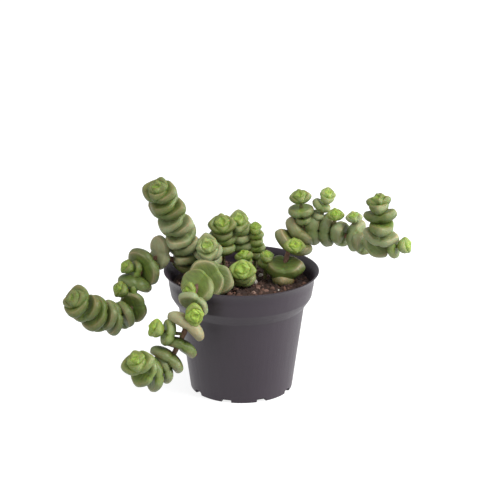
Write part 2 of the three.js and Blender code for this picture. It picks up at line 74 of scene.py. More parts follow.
SHOOTS = {
    "left_upright": {
        "route": [(-26, 10, -16), (-28, 9, -5), (-30, 7, 7), (-32, 4, 16), (-35, 0, 25), (-39, -7, 36),
                  (-42, -14, 46), (-45, -20, 54)],
        "pointed": 1,
        "crown_point": 0.5,
        "roll": 60,
        "pairs": [(16, 0.9), (22, 0.95), (29, 1), (36.5, 1.02), (44, 1.02), (51.5, 1)],
        "tip": {"at": 59, "open": 2, "pitch": 6.5, "size": 0.86},
    },
    "left_trailing": {
        "route": [(-24, 4, -16), (-30, 5, -4), (-37, 4, 4), (-46, 2, 6), (-53, -1, 2), (-58, -5, -7),
                  (-58, -9, -16), (-64, -14, -21), (-72, -21, -20), (-80, -30, -13), (-87, -38, -4),
                  (-95, -47, 9)],
        "pointed": 0.3,
        "crown_point": 0.45,
        "roll": 20,
        "pairs": [(31, 0.9), (42, 1.05), (52.5, 0.9), (64.5, 0.8), (73, 0.95), (80, 0.98), (87, 0.98)],
        "tip": {"at": 94, "open": 2, "pitch": 7.5, "size": 0.82},
    },
    "front_trailing": {
        "route": [(-4, 0, -16), (-6, -5, -6), (-10, -13, -0.5), (-17, -22, 2.5), (-22, -32, 3.8),
                  (-25, -41, 0), (-26, -47, -7), (-29, -47, -16), (-33, -48, -25), (-38, -49, -34),
                  (-43, -52, -39), (-50, -58, -36), (-57, -69, -20)],
        "pointed": 0.3,
        "crown_point": 0.45,
        "roll": 60,
        "pairs": [(30, 1), (37, 1.02), (47, 0.92), (58.5, 0.75), (70, 0.95), (83, 0.78), (92, 0.98),
                  (99, 0.85)],
        "tip": {"at": 106, "open": 2, "pitch": 7, "size": 0.78},
    },
    "right_arching": {
        "route": [(22, 2, -16), (23, 1, -6), (24, 2, 4), (28, 4, 14), (33, 7, 20), (41, 8, 21), (50, 6, 20),
                  (59, 1, 18), (67, -8, 17), (72.5, -17, 21), (74, -21, 30), (73, -21, 40), (71, -23, 51)],
        "pointed": 1,
        "crown_point": 1,
        "roll": 80,
        "pairs": [(10.5, 0.85), (16, 1.02), (31, 0.98), (38.8, 0.88), (46, 0.78), (54, 0.8), (62, 0.8),
                  (70, 0.76), (77, 0.7), (88.5, 0.8), (96.5, 0.9)],
        "tip": {"at": 103, "open": 2, "pitch": 5.6, "size": 0.74},
    },
}

# Side shoots: the stem, the distance along it, the way a shoot heads, its reach, its leaves' size and its open
# pairs.
SIDE_SHOOTS = [
    ("left_trailing", 46, (-8, -4, 4), 8, 0.44, 1),
    ("left_trailing", 57, (-8, -5, 2), 8.5, 0.5, 1),
    ("front_trailing", 50, (-7, -8, -2), 5, 0.44, 0),
    ("front_trailing", 64, (2, -9, -1), 6, 0.56, 0),
    ("front_trailing", 78, (-14, -4, 3.5), 15, 0.56, 1),
    ("right_arching", 28, (2, -7, 4), 8, 0.42, 0),
    ("right_arching", 40.5, (-2, -3, 19), 18, 0.5, 2),
    ("right_arching", 48, (6, -2, 19), 18, 0.48, 2),
    ("right_arching", 57, (1, -8, 12), 12, 0.4, 0),
    ("right_arching", 69, (1, -2, 14), 11, 0.38, 0),
    ("right_arching", 89, (17, -7, 0), 16, 0.5, 1),
]
SIDE_PITCH = 11  # distance between a side shoot's open pairs, for full-grown leaves

# Short shoots from the soil: the route, the leaves' size, the open pairs and the distance between them.
CENTRE_SHOOTS = [
    ([(-9, 14, -15), (-10, 13, 5), (-10.5, 10, 18), (-10.5, 3, 26)], 0.66, 3, 5.5),
    ([(0, 19, -15), (0, 18, 5), (-1, 15, 18), (-1.5, 9, 26)], 0.6, 3, 5.5),
    ([(7, 17, -15), (8, 17, 4), (8, 15, 14), (7.5, 12, 21)], 0.38, 4, 4.2),
    ([(-15, 8, -15), (-16, 7, -2), (-18, 4, 8), (-18.5, -4, 15)], 0.7, 2, 5.5),
    ([(0, -2, -15), (0, -5, -5), (0.5, -9, 1), (0.5, -17, 6)], 0.62, 2, 5),
    ([(4, 7, -15), (3, 6, -2), (1, 4, 8)], 0.42, 1, 4),
    ([(13, 4, -15), (13, 3, -2), (14, 0, 9)], 0.4, 1, 4),
]

# The crown at a shoot's tip: each pair is smaller than the one below it, curls up more and turns on a little.
CROWN_SHRINK = 0.74
CROWN_GROWTH = 1.14  # how much wider the whole crown opens
CROWN_RISE = 0.115  # distance between its pairs, as a share of a pair's length
CROWN_LIFT = 0.02  # how far the crown stands off the pairs below it, as a share of a pair's length
CROWN_ROOM = 0.2864  # the length that a short shoot keeps for its crown, as a share of a pair's length
CROWN_BENDS = (34, 52, 70, 86)  # degrees
CROWN_TWIST = 6  # degrees further round for each pair
CROWN_CUP = 0.28  # how far a leaf's sides curl up
CROWN_CUP_STEP = 0.08
CROWN_PLUMP = 0.95  # thickness against a plain pair's
CROWN_NARROWING = 0.14  # how much narrower a fully pointed leaf is
SHORT_POINT = 0.6  # how pointed a short shoot's crown is
TALL_CROWN = 4  # pairs in the crown of a long shoot
SMALL_CROWN = 3

# The open pairs below a crown, and the pairs down a stem.
OPEN_BEND = 22  # degrees that each leaf curls up by
OPEN_BEND_STEP = 4
OPEN_CUP = 0.08
OPEN_PLUMP = 1.05
OPEN_GROWTH = 0.1  # how much larger each open pair is than the one above it
SIDE_GROWTH = 0.25  # the same on a side shoot
OLD_CUP = 0.02

# Stalks and stems.
TWIG_UPTURN = 0.12  # how far a side shoot's tip turns up, as a share of its reach
TWIG_FOOT = 0.8  # how far a side shoot's stalk runs back into its stem
STEM_FACETS = 14
STEM_STEP = 0.9  # length of one piece of a stem
KNOT_WIDTH = 0.9
KNOT_SWELLING = 0.16  # how much thicker a stem is at a leaf pair, as a share of its radius
KNOT_PITCH = 7.3  # distance between the old leaf scars
BARK_DEPTH = 0.35  # how uneven the bark is, as a share of the radius

# ---- One leaf pair ----

THICKNESS_SHARE = 0.6  # how much of the thickness shrinks with a smaller leaf
TOP_SHARE = 0.44  # the upper side is flatter than the keeled underside
UNDER_SHARE = 0.56
TOP_FULLNESS = 0.66  # how fast each side's section thickens from its edge: less is fuller
UNDER_FULLNESS = 0.86
BLUNTNESS = 2.15  # 2 makes the outline an ellipse, more makes it squarer
POINTED_BLUNTNESS = 1.8
WAIST_SPAN = 0.28
SEAM_WIDTH = 0.045  # the crease where the two leaves meet
SEAM_DEPTH = 0.4
KEEL = 0.12  # how much deeper the underside is along its middle
FACETS = {"old_leaf": 44, "tip_leaf": 32, "young_leaf": 32}

# ---- Pot ----

POT_SIDES = 144
SHARP_ANGLE = 32  # degrees between faces that meet in an edge
SHOULDER_ROUNDING = ((0.1, 0.3), (0.55, 0.62))  # places the step passes, as shares of its size
NOTCH_TURN = 23  # degrees from the front to the first notch

# ---- Soil ----

SOIL_DOME = 0.0012  # how much higher the soil stands at the centre
SOIL_RINGS = 46
SOIL_SIDES = 160
GRAIN_LIFT = 0.0011  # height of a perlite grain's middle over the soil's edge
CRUMB_MARGIN = 0.0022  # bare soil left beside the wall

# Perlite grains on the soil: place in millimetres and size.
PERLITE = [(10.8, 9.6, 1.0), (7.4, -1, 1.1), (20, -14, 0.4), (24, 3, 0.35), (-22, -14, 0.5), (-29, -4, 0.6),
           (2, 27, 0.6), (-12, 26, 0.5)]

# Specks of soil left on the lip: degrees round from the front, millimetres below the rim and size.
SPECKS = [(-44, 1.6, 0.9), (-48, 3, 1.2), (-42, 3.4, 0.8), (-46, 4.8, 0.7), (-52, 2.2, 0.7), (-39, 2.2, 0.6)]

# ---- Lights ----
# Each light's place from the centre of the rim in metres, its width and its power in watts.

LIGHTS = [("key", (0.75, -0.35, 0.95), 0.7, 17.0), ("rim", (0.95, 0.1, 0.1), 0.5, 9.0),
          ("fill", (-0.8, -0.9, 0.6), 1.0, 5.0)]

# ---- Leaf tints ----
# How young, how pale with bloom and how dry a piece's leaves are, each from about 0 to 1. A piece that isn't
# listed has its stem's.

TINTS = {
    "left_upright": (0.12, 0.35, 0.2),
    "left_upright_pair_1": (0, 0.1, 0.55),
    "left_upright_pair_2": (0, 0.25, 0.3),
    "left_upright_tip": (0.12, -0.1, 0),
    "left_trailing": (0.1, 0.05, 0.1),
    "left_trailing_pair_1": (0, 0.7, 0.6),
    "left_trailing_tip": (0.1, -0.2, 0),
    "left_trailing_side_1": (0.55, 0, 0),
    "left_trailing_side_2": (0.5, 0, 0),
    "front_trailing": (0.15, 0.1, 0.15),
    "front_trailing_pair_1": (0.2, 0.25, 0.25),
    "front_trailing_pair_2": (0.3, 0.15, 0.25),
    "front_trailing_pair_3": (0.4, 0.1, 0.25),
    "front_trailing_pair_4": (0.2, 0.35, 0.3),
    "front_trailing_pair_5": (0, 0.75, 0.75),
    "front_trailing_pair_6": (0.1, 0, 0.1),
    "front_trailing_pair_7": (0.05, 0.1, 0.3),
    "front_trailing_pair_8": (0.3, 0.3, 0.3),
    "front_trailing_tip": (0.45, 0.1, 0.05),
    "front_trailing_side_1": (1, 0, 0),
    "front_trailing_side_2": (1, 0, 0),
    "front_trailing_side_3": (0.9, 0.25, 0),
    "right_arching": (0.1, 0.15, 0.15),
    "right_arching_pair_1": (0, 0.1, 0.8),
    "right_arching_pair_2": (0, -0.3, 0),
    "right_arching_pair_3": (0.05, 0.2, 0.45),
    "right_arching_pair_4": (0.05, 0.3, 0.55),
    "right_arching_pair_5": (0.1, 0.3, 0.3),
    "right_arching_pair_6": (0.2, 0.35, 0.1),
    "right_arching_pair_7": (0.3, 0.3, 0.1),
    "right_arching_pair_8": (0.2, 0.4, 0.15),
    "right_arching_pair_9": (0.1, 0.3, 0.3),
    "right_arching_pair_10": (0.3, 0.4, 0.2),
    "right_arching_pair_11": (0.35, 0.5, 0.1),
    "right_arching_tip": (0.2, 0.1, 0.05),
    "right_arching_side_1": (0.9, 0.1, 0),
    "right_arching_side_2": (0.4, 0.2, 0),
    "right_arching_side_3": (0.6, 0.4, 0),
    "right_arching_side_4": (0.9, 0.1, 0),
    "right_arching_side_5": (0.9, 0.6, 0),
    "right_arching_side_6": (0.75, 0.3, 0),
    "centre_shoot_1": (0.35, 0.05, 0),
    "centre_shoot_2": (0.45, 0.3, 0),
    "centre_shoot_3": (0.6, 0.1, 0),
    "centre_shoot_4": (0.4, 0.6, 0.05),
    "centre_shoot_5": (0.8, 0.25, 0.05),
    "centre_shoot_6": (0.8, 0.2, 0),
    "centre_shoot_7": (0.6, 0.1, 0),
}

# How leaf pairs stray from the even stack, by piece and from its lowest pair up: the way a pair faces, the way
# its leaves point, growth, plumpness, a shift in millimetres, and its own bend and cup.

POSES = {
    "left_upright_pair_1": [{"up": (0.15, -0.3, 0.95), "aim": (1, 0, -0.1)}],
    "left_upright_pair_3": [{"up": (-0.4, -0.3, 0.85)}],
    "left_upright_pair_4": [{"up": (-0.12, -0.5, 0.86), "grown": 1.03}],
    "left_upright_pair_6": [{"up": (-0.4, -0.58, 0.7)}],
    "left_trailing_pair_1": [
        {"up": (-0.75, -0.62, 0.1), "aim": (-0.15, 0, 1), "shift": (-1, 0, 3), "bend": 12},
    ],
    "left_trailing_pair_2": [
        {"up": (-0.6, -0.72, -0.2), "aim": (0.73, 0, -0.68), "plump": 1.15, "bend": 14},
    ],
    "left_trailing_pair_3": [{"up": (-0.3, -0.15, -0.92), "aim": (0.92, 0, -0.38), "plump": 1.1}],
    "left_trailing_pair_4": [
        {"up": (-0.3, -0.9, -0.1), "aim": (0.3, 0, -0.95), "grown": 1.1, "shift": (0, 0, -1)},
    ],
    "left_trailing_pair_6": [{"up": (-0.8, -0.6, 0.1), "grown": 0.96}],
    "front_trailing_pair_1": [{"up": (0.15, -0.92, 0.4), "aim": (0.9, 0, -0.4), "grown": 1.04}],
    "front_trailing_pair_2": [
        {"up": (-0.05, -0.9, 0.45), "aim": (-0.5, 0, 0.9), "grown": 1.04, "cup": 0.14, "plump": 0.9},
    ],
    "front_trailing_pair_3": [
        {"up": (-0.45, -0.7, 0.5), "aim": (0.75, 0, -0.6), "grown": 1.1, "cup": 0.16,
         "shift": (0, -0.5, -1)},
    ],
    "front_trailing_pair_4": [
        {"up": (-0.4, -0.7, -0.45), "aim": (0.85, 0, -0.5), "grown": 1.1, "shift": (0.5, 0, -1.5)},
    ],
    "front_trailing_pair_5": [
        {"up": (-0.6, -0.25, -0.76), "aim": (0.79, 0, -0.62), "grown": 1.12, "shift": (-0.8, 0, -2)},
    ],
    "front_trailing_pair_6": [
        {"up": (-0.45, -0.4, -0.8), "aim": (0.88, 0, -0.45), "grown": 1.12, "shift": (1, 0, -2)},
    ],
    "front_trailing_pair_7": [{"up": (-0.6, -0.3, -0.72), "aim": (0.77, 0, -0.64), "shift": (-2, 0, -0.5)}],
    "front_trailing_pair_8": [{"up": (-0.88, -0.4, -0.3), "aim": (0.35, 0, -0.93), "grown": 0.95}],
    "front_trailing_tip": [
        {"up": (-0.85, -0.5, -0.05), "aim": (0.1, 0, -1)},
        {"up": (-0.55, -0.72, 0.42), "aim": (-0.3, 0, -0.9), "cup": 0.12},
    ],
    "right_arching_pair_2": [
        {"up": (0.05, -0.4, 0.92), "aim": (1, 0, 0), "plump": 1.45, "shift": (0, 0, 0.8)},
    ],
    "right_arching_pair_3": [
        {"up": (0.5, -0.15, 0.85), "aim": (0.85, 0, -0.53), "grown": 1.06, "plump": 1.15},
    ],
    "right_arching_pair_4": [
        {"up": (0.62, -0.2, 0.75), "aim": (0.8, 0, -0.6), "grown": 1.06, "plump": 1.25},
    ],
    "right_arching_pair_5": [{"aim": (0.1, 0, -1), "grown": 1.12, "plump": 1.3}],
    "right_arching_pair_6": [{"up": (0.9, -0.42, -0.1), "aim": (0, 0, -1), "grown": 1.12, "plump": 1.3}],
    "right_arching_pair_7": [{"up": (0.8, -0.6, -0.1), "grown": 1.1, "plump": 1.3}],
    "right_arching_pair_8": [{"up": (0.85, -0.5, 0.1), "grown": 1.1, "plump": 1.3, "shift": (1.5, 0, 2)}],
    "right_arching_pair_9": [{"grown": 1.1, "plump": 1.2}],
    "right_arching_pair_10": [{"up": (0.3, -0.9, 0.35), "aim": (0.6, 0, -0.8)}],
    "right_arching_tip": [{"up": (0.05, -0.2, 0.98)}],
    "right_arching_side_1": [{"grown": 1.2, "shift": (0, 0, -1.2)}] * SMALL_CROWN,
    "right_arching_side_2": [
        {"grown": 0.6, "shift": (1, 0, -2)},
        {"aim": (0.95, 0, -0.3), "grown": 1.08, "shift": (0, 0, -2), "bend": 10},
    ],
    "right_arching_side_3": [
        {"grown": 0.55, "shift": (-2.2, 0, -0.5)},
        {"up": (0.5, -0.1, 0.86), "aim": (0.86, 0, -0.5), "grown": 0.85, "shift": (-1.8, 0, 0)},
    ],
}

# The way a side shoot's crown faces, where it leans from its stalk.
LEANING_CROWNS = {
    "right_arching_side_2": (-0.15, -0.6, 0.78),
    "right_arching_side_3": (0.15, -0.5, 0.85),
    "right_arching_side_4": (0, -0.75, 0.66),
    "right_arching_side_5": (-0.2, -0.6, 0.78),
}

# ---- Sizes and colours that a user would change ----


def length(name, description, default):
    return FloatProperty(name=name, description=description, default=default, unit="LENGTH", precision=5)


def share(name, description, default):
    return FloatProperty(name=name, description=description, default=default, subtype="FACTOR", soft_max=1)


def colour(name, description, default):
    return FloatVectorProperty(name=name, description=description, default=default, subtype="COLOR", min=0,
                               max=1)


class PlantSettings(bpy.types.PropertyGroup):
    leaf_length: length("Pair length", "A full-grown leaf pair from tip to tip", LEAF_LENGTH * MM)
    leaf_width: length("Pair width", "A full-grown leaf pair across", 0.018)
    leaf_thickness: length("Leaf thickness", "Thickness of a full-grown leaf", 0.0074)
    waist: share("Waist", "How far the outline draws in where two leaves meet", 0.1)
    dish: share("Dish", "How far the top of a leaf sinks inside its edge", 0.35)
    unevenness: share("Unevenness", "How far leaves stray from their even outline", 0.12)
    stem_radius: length("Stem radius", "Radius of a trailing stem", 0.00135)
    twig_radius: length("Twig radius", "Radius of a side shoot's stalk", 0.0009)
    young: colour("Young leaf", "Newest leaves and buds", (0.27, 0.39, 0.04))
    mature: colour("Leaf", "Full-grown leaves", (0.100, 0.138, 0.030))
    bloom: colour("Bloom", "Waxy bloom over a leaf", (0.38, 0.42, 0.24))
    dry: colour("Drying leaf", "Old leaves and leaf feet", (0.24, 0.17, 0.085))
    margin: colour("Leaf margin", "Pale line along a leaf's edge", (0.44, 0.37, 0.22))
    bark: colour("Bark", "Woody stems", (0.10, 0.05, 0.03))


class PotSettings(bpy.types.PropertyGroup):
    base_radius: length("Base radius", "Radius of the pot's underside", 0.028)
    wall: length("Wall", "Thickness of the wall", 0.0011)
    floor: length("Floor", "Thickness of the floor", 0.0016)
    lip_height: length("Lip height", "From the rim down to the skirt", 0.007)
    lip_flare: length("Lip flare", "How far the lip stands out from the skirt", 0.0029)
    lip_curl: length("Lip curl", "Height below the rim where the lip turns out", 0.0026)
    skirt_height: length("Skirt height", "The nearly straight band under the lip", 0.0065)
    skirt_taper: length("Skirt taper", "How far the skirt draws in", 0.0011)
    shoulder_height: length("Shoulder height", "The rounded step below the skirt", 0.0085)
    shoulder_step: length("Shoulder step", "How far the shoulder draws in", 0.0044)
    notches: IntProperty(name="Notches", description="Drainage notches round the base", default=9, min=0)
    notch_width: length("Notch width", "Width of a drainage notch", 0.0055)
    notch_height: length("Notch height", "Height of a drainage notch", 0.0022)
    notch_depth: length("Notch depth", "How far in a notch reaches", 0.0034)
    plastic: colour("Plastic", "The pot's moulded plastic", (0.031, 0.0215, 0.031))


class SoilSettings(bpy.types.PropertyGroup):
    crumb_size: length("Crumb", "Radius of a soil crumb", 0.0008)
    grain_size: length("Perlite", "Radius of a perlite grain", 0.0013)
    crumbs: FloatProperty(name="Crumbs", description="Crumbs on a square metre of soil", default=250000)
    seed: IntProperty(name="Seed", description="Which random soil", default=4)
    peat: colour("Peat", "Damp peat", (0.036, 0.017, 0.011))
    fibre: colour("Fibre", "Dry crumbs and coir", (0.19, 0.095, 0.065))
    perlite: colour("Perlite", "Perlite grains", (0.62, 0.56, 0.48))


class StageSettings(bpy.types.PropertyGroup):
    floor_size: length("Floor side", "Side of the square floor", 12)
    floor: colour("Floor", "The floor's own grey", (0.35, 0.35, 0.35))
    floor_glow: FloatProperty(name="Floor glow", description="White light from the floor", default=0.8)
    sky: colour("Sky", "Light from all round", (0.96, 0.98, 1))
    sky_strength: FloatProperty(name="Sky strength", description="Strength of that light", default=0.62)
    place: FloatVectorProperty(name="Camera", description="From the centre of the rim to the camera",
                               default=(-0.00076, -0.9441, 0.3297), subtype="TRANSLATION", unit="LENGTH")
    lens: FloatProperty(name="Lens", description="Focal length", default=137.8, unit="CAMERA")
    pitch: FloatProperty(name="Pitch", description="How far the camera looks down",
                         default=math.radians(18.33), unit="ROTATION")


# ---- Node graphs ----


class Wire:
    """A node's output that takes arithmetic: an expression on wires adds its Math nodes."""

    def __init__(self, tree, made=None, out=0):
        self.tree = tree
        self.made = made
        self.socket = made.outputs[out] if made and made.outputs else None

    def out(self, name):
        return Wire(self.tree, self.made, name)

    def node(self, kind, settings=None, values=None, out=0):
        """Adds a node of a type, makes its settings, fills its sockets and gives one of its outputs."""
        made = self.tree.nodes.new(kind)
        for name, value in (settings or {}).items():
            setattr(made, name, value)
        for key, value in (values or {}).items():
            if isinstance(value, Wire):
                self.tree.links.new(value.socket, made.inputs[key])
            else:
                made.inputs[key].default_value = value
        return Wire(self.tree, made, out)

    def math(self, operation, *others):
        return self.node("ShaderNodeMath", {"operation": operation}, dict(enumerate((self, *others))))

    def vector(self, operation, *others, out=0):
        values = dict(enumerate((self, *others)))
        return self.node("ShaderNodeVectorMath", {"operation": operation}, values, out)

    def scaled(self, factor):
        return self.node("ShaderNodeVectorMath", {"operation": "SCALE"}, {0: self, "Scale": factor})

    def parts(self):
        split = self.node("ShaderNodeSeparateXYZ", values={0: self})
        return split, split.out(1), split.out(2)

    def bell(self, middle, width):
        """1 at the middle, falling off smoothly either side."""
        away = (self - middle) / width
        return (away * away * -1).math("EXPONENT")

    def ease(self, low, high):
        """0 below the low value and 1 above the high one, smoothly."""
        settings = {"interpolation_type": "SMOOTHSTEP"}
        return self.node("ShaderNodeMapRange", settings, {"Value": self, "From Min": low, "From Max": high})

    def mix(self, a, b):
        """A colour between two, by this wire."""
        values = {"Factor": self, 6: a, 7: b}
        return self.node("ShaderNodeMix", {"data_type": "RGBA"}, values, 2)

    def __add__(self, other):
        return self.math("ADD", other)

    __radd__ = __add__

    def __sub__(self, other):
        return self.math("SUBTRACT", other)

    def __rsub__(self, other):
        return self.node("ShaderNodeMath", {"operation": "SUBTRACT"}, {0: other, 1: self})

    def __mul__(self, other):
        return self.math("MULTIPLY", other)

    __rmul__ = __mul__

    def __truediv__(self, other):
        return self.math("DIVIDE", other)

    def __pow__(self, other):
        return self.math("POWER", other)


def rgba(tone, factor=1):
    """A colour with its alpha, made lighter or darker by a factor."""
    return (*(channel * factor for channel in tone), 1)


# ---- Materials ----


def material(name, build, **constants):
    """A material with one Principled shader. The build gives its colour, roughness, relief and relief depth."""
    made = bpy.data.materials.new(name)
    made.use_nodes = True
    tree = made.node_tree
    tree.nodes.clear()
    wires = Wire(tree)
    tone, rough, relief, depth = build(wires)
    bump = wires.node("ShaderNodeBump", values={"Height": relief, "Strength": 1.0, "Distance": depth})
    shader = wires.node("ShaderNodeBsdfPrincipled",
                        values={"Base Color": tone, "Roughness": rough, "Normal": bump, **constants})
    wires.node("ShaderNodeOutputMaterial", values={"Surface": shader})
    return made


def object_place(wires):
    """The place on the piece, in its own coordinates."""
    return wires.node("ShaderNodeTexCoord", out="Object")


def grain(wires, scale, detail=3.0, roughness=0.55, place=None):
    """Noise of a scale per metre, about 0 to 1."""
    return wires.node("ShaderNodeTexNoise", values={"Vector": place or object_place(wires), "Scale": scale,
                                                    "Detail": detail, "Roughness": roughness})


def attribute(wires, name, out="Fac"):
    """A value that the piece's mesh carries, for a shader."""
    return wires.node("ShaderNodeAttribute", {"attribute_name": name}, out=out)


def leaf_material(name, look, wax, line):
    """Thick waxy leaves: a green that ages towards brown at the leaf's foot, bloom, a pale margin, and painted
    shade on the underside.
    """

    def build(wires):
        reach, across, level = attribute(wires, "leaf", "Vector").parts()
        youth, pale, dry = attribute(wires, "tint", "Vector").parts()
        pick = attribute(wires, "pick")
        blotch = grain(wires, 190)
        fine = grain(wires, 1500, 4)
        age = (youth * 0.9 + (blotch - 0.5) * 0.35 + (pick - 0.5) * 0.12).ease(0, 1)
        tone = age.mix(rgba(look.mature), rgba(look.young))
        # Painted shade: each leaf's underside is darkened towards a darker copy of the leaf green, less so on
        # young leaves.
        painted_under_shade = level.ease(0.15, -0.7)
        tone = (painted_under_shade * (1 - youth) * 0.45).mix(tone, rgba(look.mature, 0.55))
        foot = reach.ease(0.55, 0.05) * level.ease(-0.3, 0.6)
        tone = (foot * youth * 0.5 + youth * reach.ease(0.5, 0) * 0.3).mix(tone, rgba(look.young))
        out = (reach * reach + across * across).math("SQRT")
        values = {0: reach * 0.7 + pick * 17, 1: across * 7, 2: level * 3}
        lengthwise = wires.node("ShaderNodeCombineXYZ", values=values)
        streak = grain(wires, 1.0, 3, 0.6, lengthwise)
        tone = (streak.ease(0.48, 0.72) * 0.55).mix(tone, rgba(look.mature, 0.62))
        tone = (streak.ease(0.5, 0.28) * 0.35 * out.ease(1.1, 0.3)).mix(tone, rgba(look.young))
        rim = out.ease(0.75, 1.15) * (0.4 - youth * 0.3)
        wax_mask = (pale + (blotch - 0.5) * 0.5 + (fine - 0.5) * 0.25 + rim).ease(0.05, 1.0) * 0.85
        tone = wax_mask.mix(tone, rgba(look.bloom))
        stain = grain(wires, 120, 2)
        brown = (dry * 1.2 + (stain - 0.6) * 1.1 * (1 - youth)).ease(0.15, 1.2) * (1 - youth * 0.7)
        tone = (brown * 0.8).mix(tone, rgba(look.dry))
        blush = level.bell(0.4, 0.4) * reach.ease(0.2, 0.8) * stain * (1 - youth).math("MAXIMUM", 0)
        tone = (blush * 0.75).mix(tone, rgba(look.dry))
        edge = level.bell(0.4, 0.08) * reach.ease(0.1, 0.7) * (stain * 2.2 - 0.6).ease(0, 1)
        tone = (edge * line).mix(tone, rgba(look.margin))
        dots = wires.node("ShaderNodeTexVoronoi", values={"Vector": object_place(wires), "Scale": 1500.0})
        fleck = dots.ease(0.22, 0.1) * level.bell(0.1, 0.5) * 0.18
        tone = fleck.mix(tone, rgba(look.mature, 0.6))
        rough = 0.42 + wax_mask * 0.2 + (fine - 0.5) * 0.2
        height = blotch * 0.5 + streak * 0.6 + fine * 0.12 + dots * 0.06
        return tone, rough, height, 0.0006

    constants = {"Subsurface Weight": 0.22, "Subsurface Scale": 0.004, "Specular IOR Level": 0.28,
                 "Coat Weight": wax, "Coat Roughness": 0.35}
    return material(name, build, **constants)


def bark_material(name, look, fresh):
    """Ringed brown bark, with some green left in it, and more on a fresh stalk."""

    def build(wires):
        along = attribute(wires, "along")
        rings = (along * 5200).math("SINE") * 0.5 + 0.5
        streak = grain(wires, 900, 4)
        patch = grain(wires, 220)
        tone = patch.ease(0.35, 0.7).mix(rgba(look.bark), rgba(look.bark, 2.6))
        tone = (streak.ease(0.5, 0.8) * 0.4).mix(tone, (0.22, 0.17, 0.11, 1))
        green = grain(wires, 70).ease(0.55, 0.8) * 0.45
        tone = (green + fresh).mix(tone, rgba(look.mature))
        return tone, 0.7 + streak * 0.2, rings * 0.3 + streak, 0.0004

    return material(name, build)


def plastic_material(look):
    """Dull moulded plastic with faint upright streaks and dust."""

    def build(wires):
        fine = grain(wires, 2600, 3)
        broad = grain(wires, 28, 3)
        place = object_place(wires)
        stretched = wires.node("ShaderNodeMapping", values={"Vector": place, "Scale": (1, 1, 0.12)})
        drawn = grain(wires, 260, 3, place=stretched)
        height_up = place.parts()[2]
        dust = (broad.ease(0.5, 0.85) * 0.5 + height_up.ease(0.02, 0) * 0.3) * drawn.ease(0.3, 0.7)
        tone = dust.mix(rgba(look.plastic), rgba(look.plastic, 1.35))
        tone = (drawn.ease(0.45, 0.8) * 0.35).mix(tone, rgba(look.plastic, 0.82))
        rough = 0.36 + broad * 0.12 + dust * 0.2 + (fine - 0.5) * 0.1
        return tone, rough, fine * 0.35 + drawn * 0.5 + broad, 0.00025

    return material("moulded_plastic", build, **{"Specular IOR Level": 0.4})


def soil_material(look):
    """Damp peat, with dry and reddish crumbs picked out by their own shade."""

    def build(wires):
        shade = attribute(wires, "shade")
        coarse = grain(wires, 700, 5, 0.7)
        dryness = shade.ease(0.35, 1.0) * 0.8 + coarse.ease(0.55, 0.8) * 0.3
        tone = dryness.mix(rgba(look.peat), rgba(look.fibre))
        tone = shade.ease(0.9, 0.97).mix(tone, (0.30, 0.20, 0.16, 1))
        return tone, 0.85 + coarse * 0.1, coarse, 0.0006

    return material("soil", build)


def perlite_material(look):
    """White grains with dull pits."""

    def build(wires):
        pits = grain(wires, 1800, 5, 0.7)
        tone = pits.ease(0.3, 0.6).mix(rgba(look.perlite, 0.6), rgba(look.perlite))
        return tone, 0.8 + pits * 0.1, pits, 0.0005

    return material("perlite", build)


# ---- Geometry trees ----


def new_tree(name, inputs):
    """A geometry tree with named inputs. Gives the tree, its input wire and what to call to end it."""
    tree = bpy.data.node_groups.new(name, "GeometryNodeTree")
    tree.interface.new_socket("Geometry", in_out="INPUT", socket_type="NodeSocketGeometry")
    for title, kind in inputs:
        tree.interface.new_socket(title, in_out="INPUT", socket_type="NodeSocket" + kind)
    tree.interface.new_socket("Geometry", in_out="OUTPUT", socket_type="NodeSocketGeometry")
    given = Wire(tree).node("NodeGroupInput")

    def end(shape):
        solid = shape.node("GeometryNodeRealizeInstances", values={0: shape})
        smooth = solid.node("GeometryNodeSetShadeSmooth", values={0: solid})
        painted = smooth.node("GeometryNodeSetMaterial",
                              values={0: smooth, "Material": given.out("Material")})
        painted.node("NodeGroupOutput", values={0: painted})

    return tree, given, end


def named(wires, name, kind="FLOAT"):
    """A value that the mesh carries, for a geometry tree."""
    return wires.node("GeometryNodeInputNamedAttribute", {"data_type": kind}, {"Name": name})


def stored(shape, name, value, kind="FLOAT"):
    """The shape with a value stored on its points."""
    return shape.node("GeometryNodeStoreNamedAttribute", {"data_type": kind, "domain": "POINT"},
                      {0: shape, "Name": name, "Value": value})


def random_value(wires, low, high, seed):
    """A random number or vector for each point."""
    if isinstance(low, tuple):
        return wires.node("FunctionNodeRandomValue", {"data_type": "FLOAT_VECTOR"},
                          {0: low, 1: high, "Seed": seed})
    return wires.node("FunctionNodeRandomValue", {"data_type": "FLOAT"}, {2: low, 3: high, "Seed": seed}, 1)


def noise_at(wires, place, **settings):
    """Smooth noise about zero."""
    return wires.node("ShaderNodeTexNoise", values={"Vector": place, **settings}) - 0.5


def placed_along(parts, axes):
    """The sum of three axes, each by its own length."""
    x, y, z = (axis.scaled(part) for axis, part in zip(axes, parts))
    return x.vector("ADD", y).vector("ADD", z)


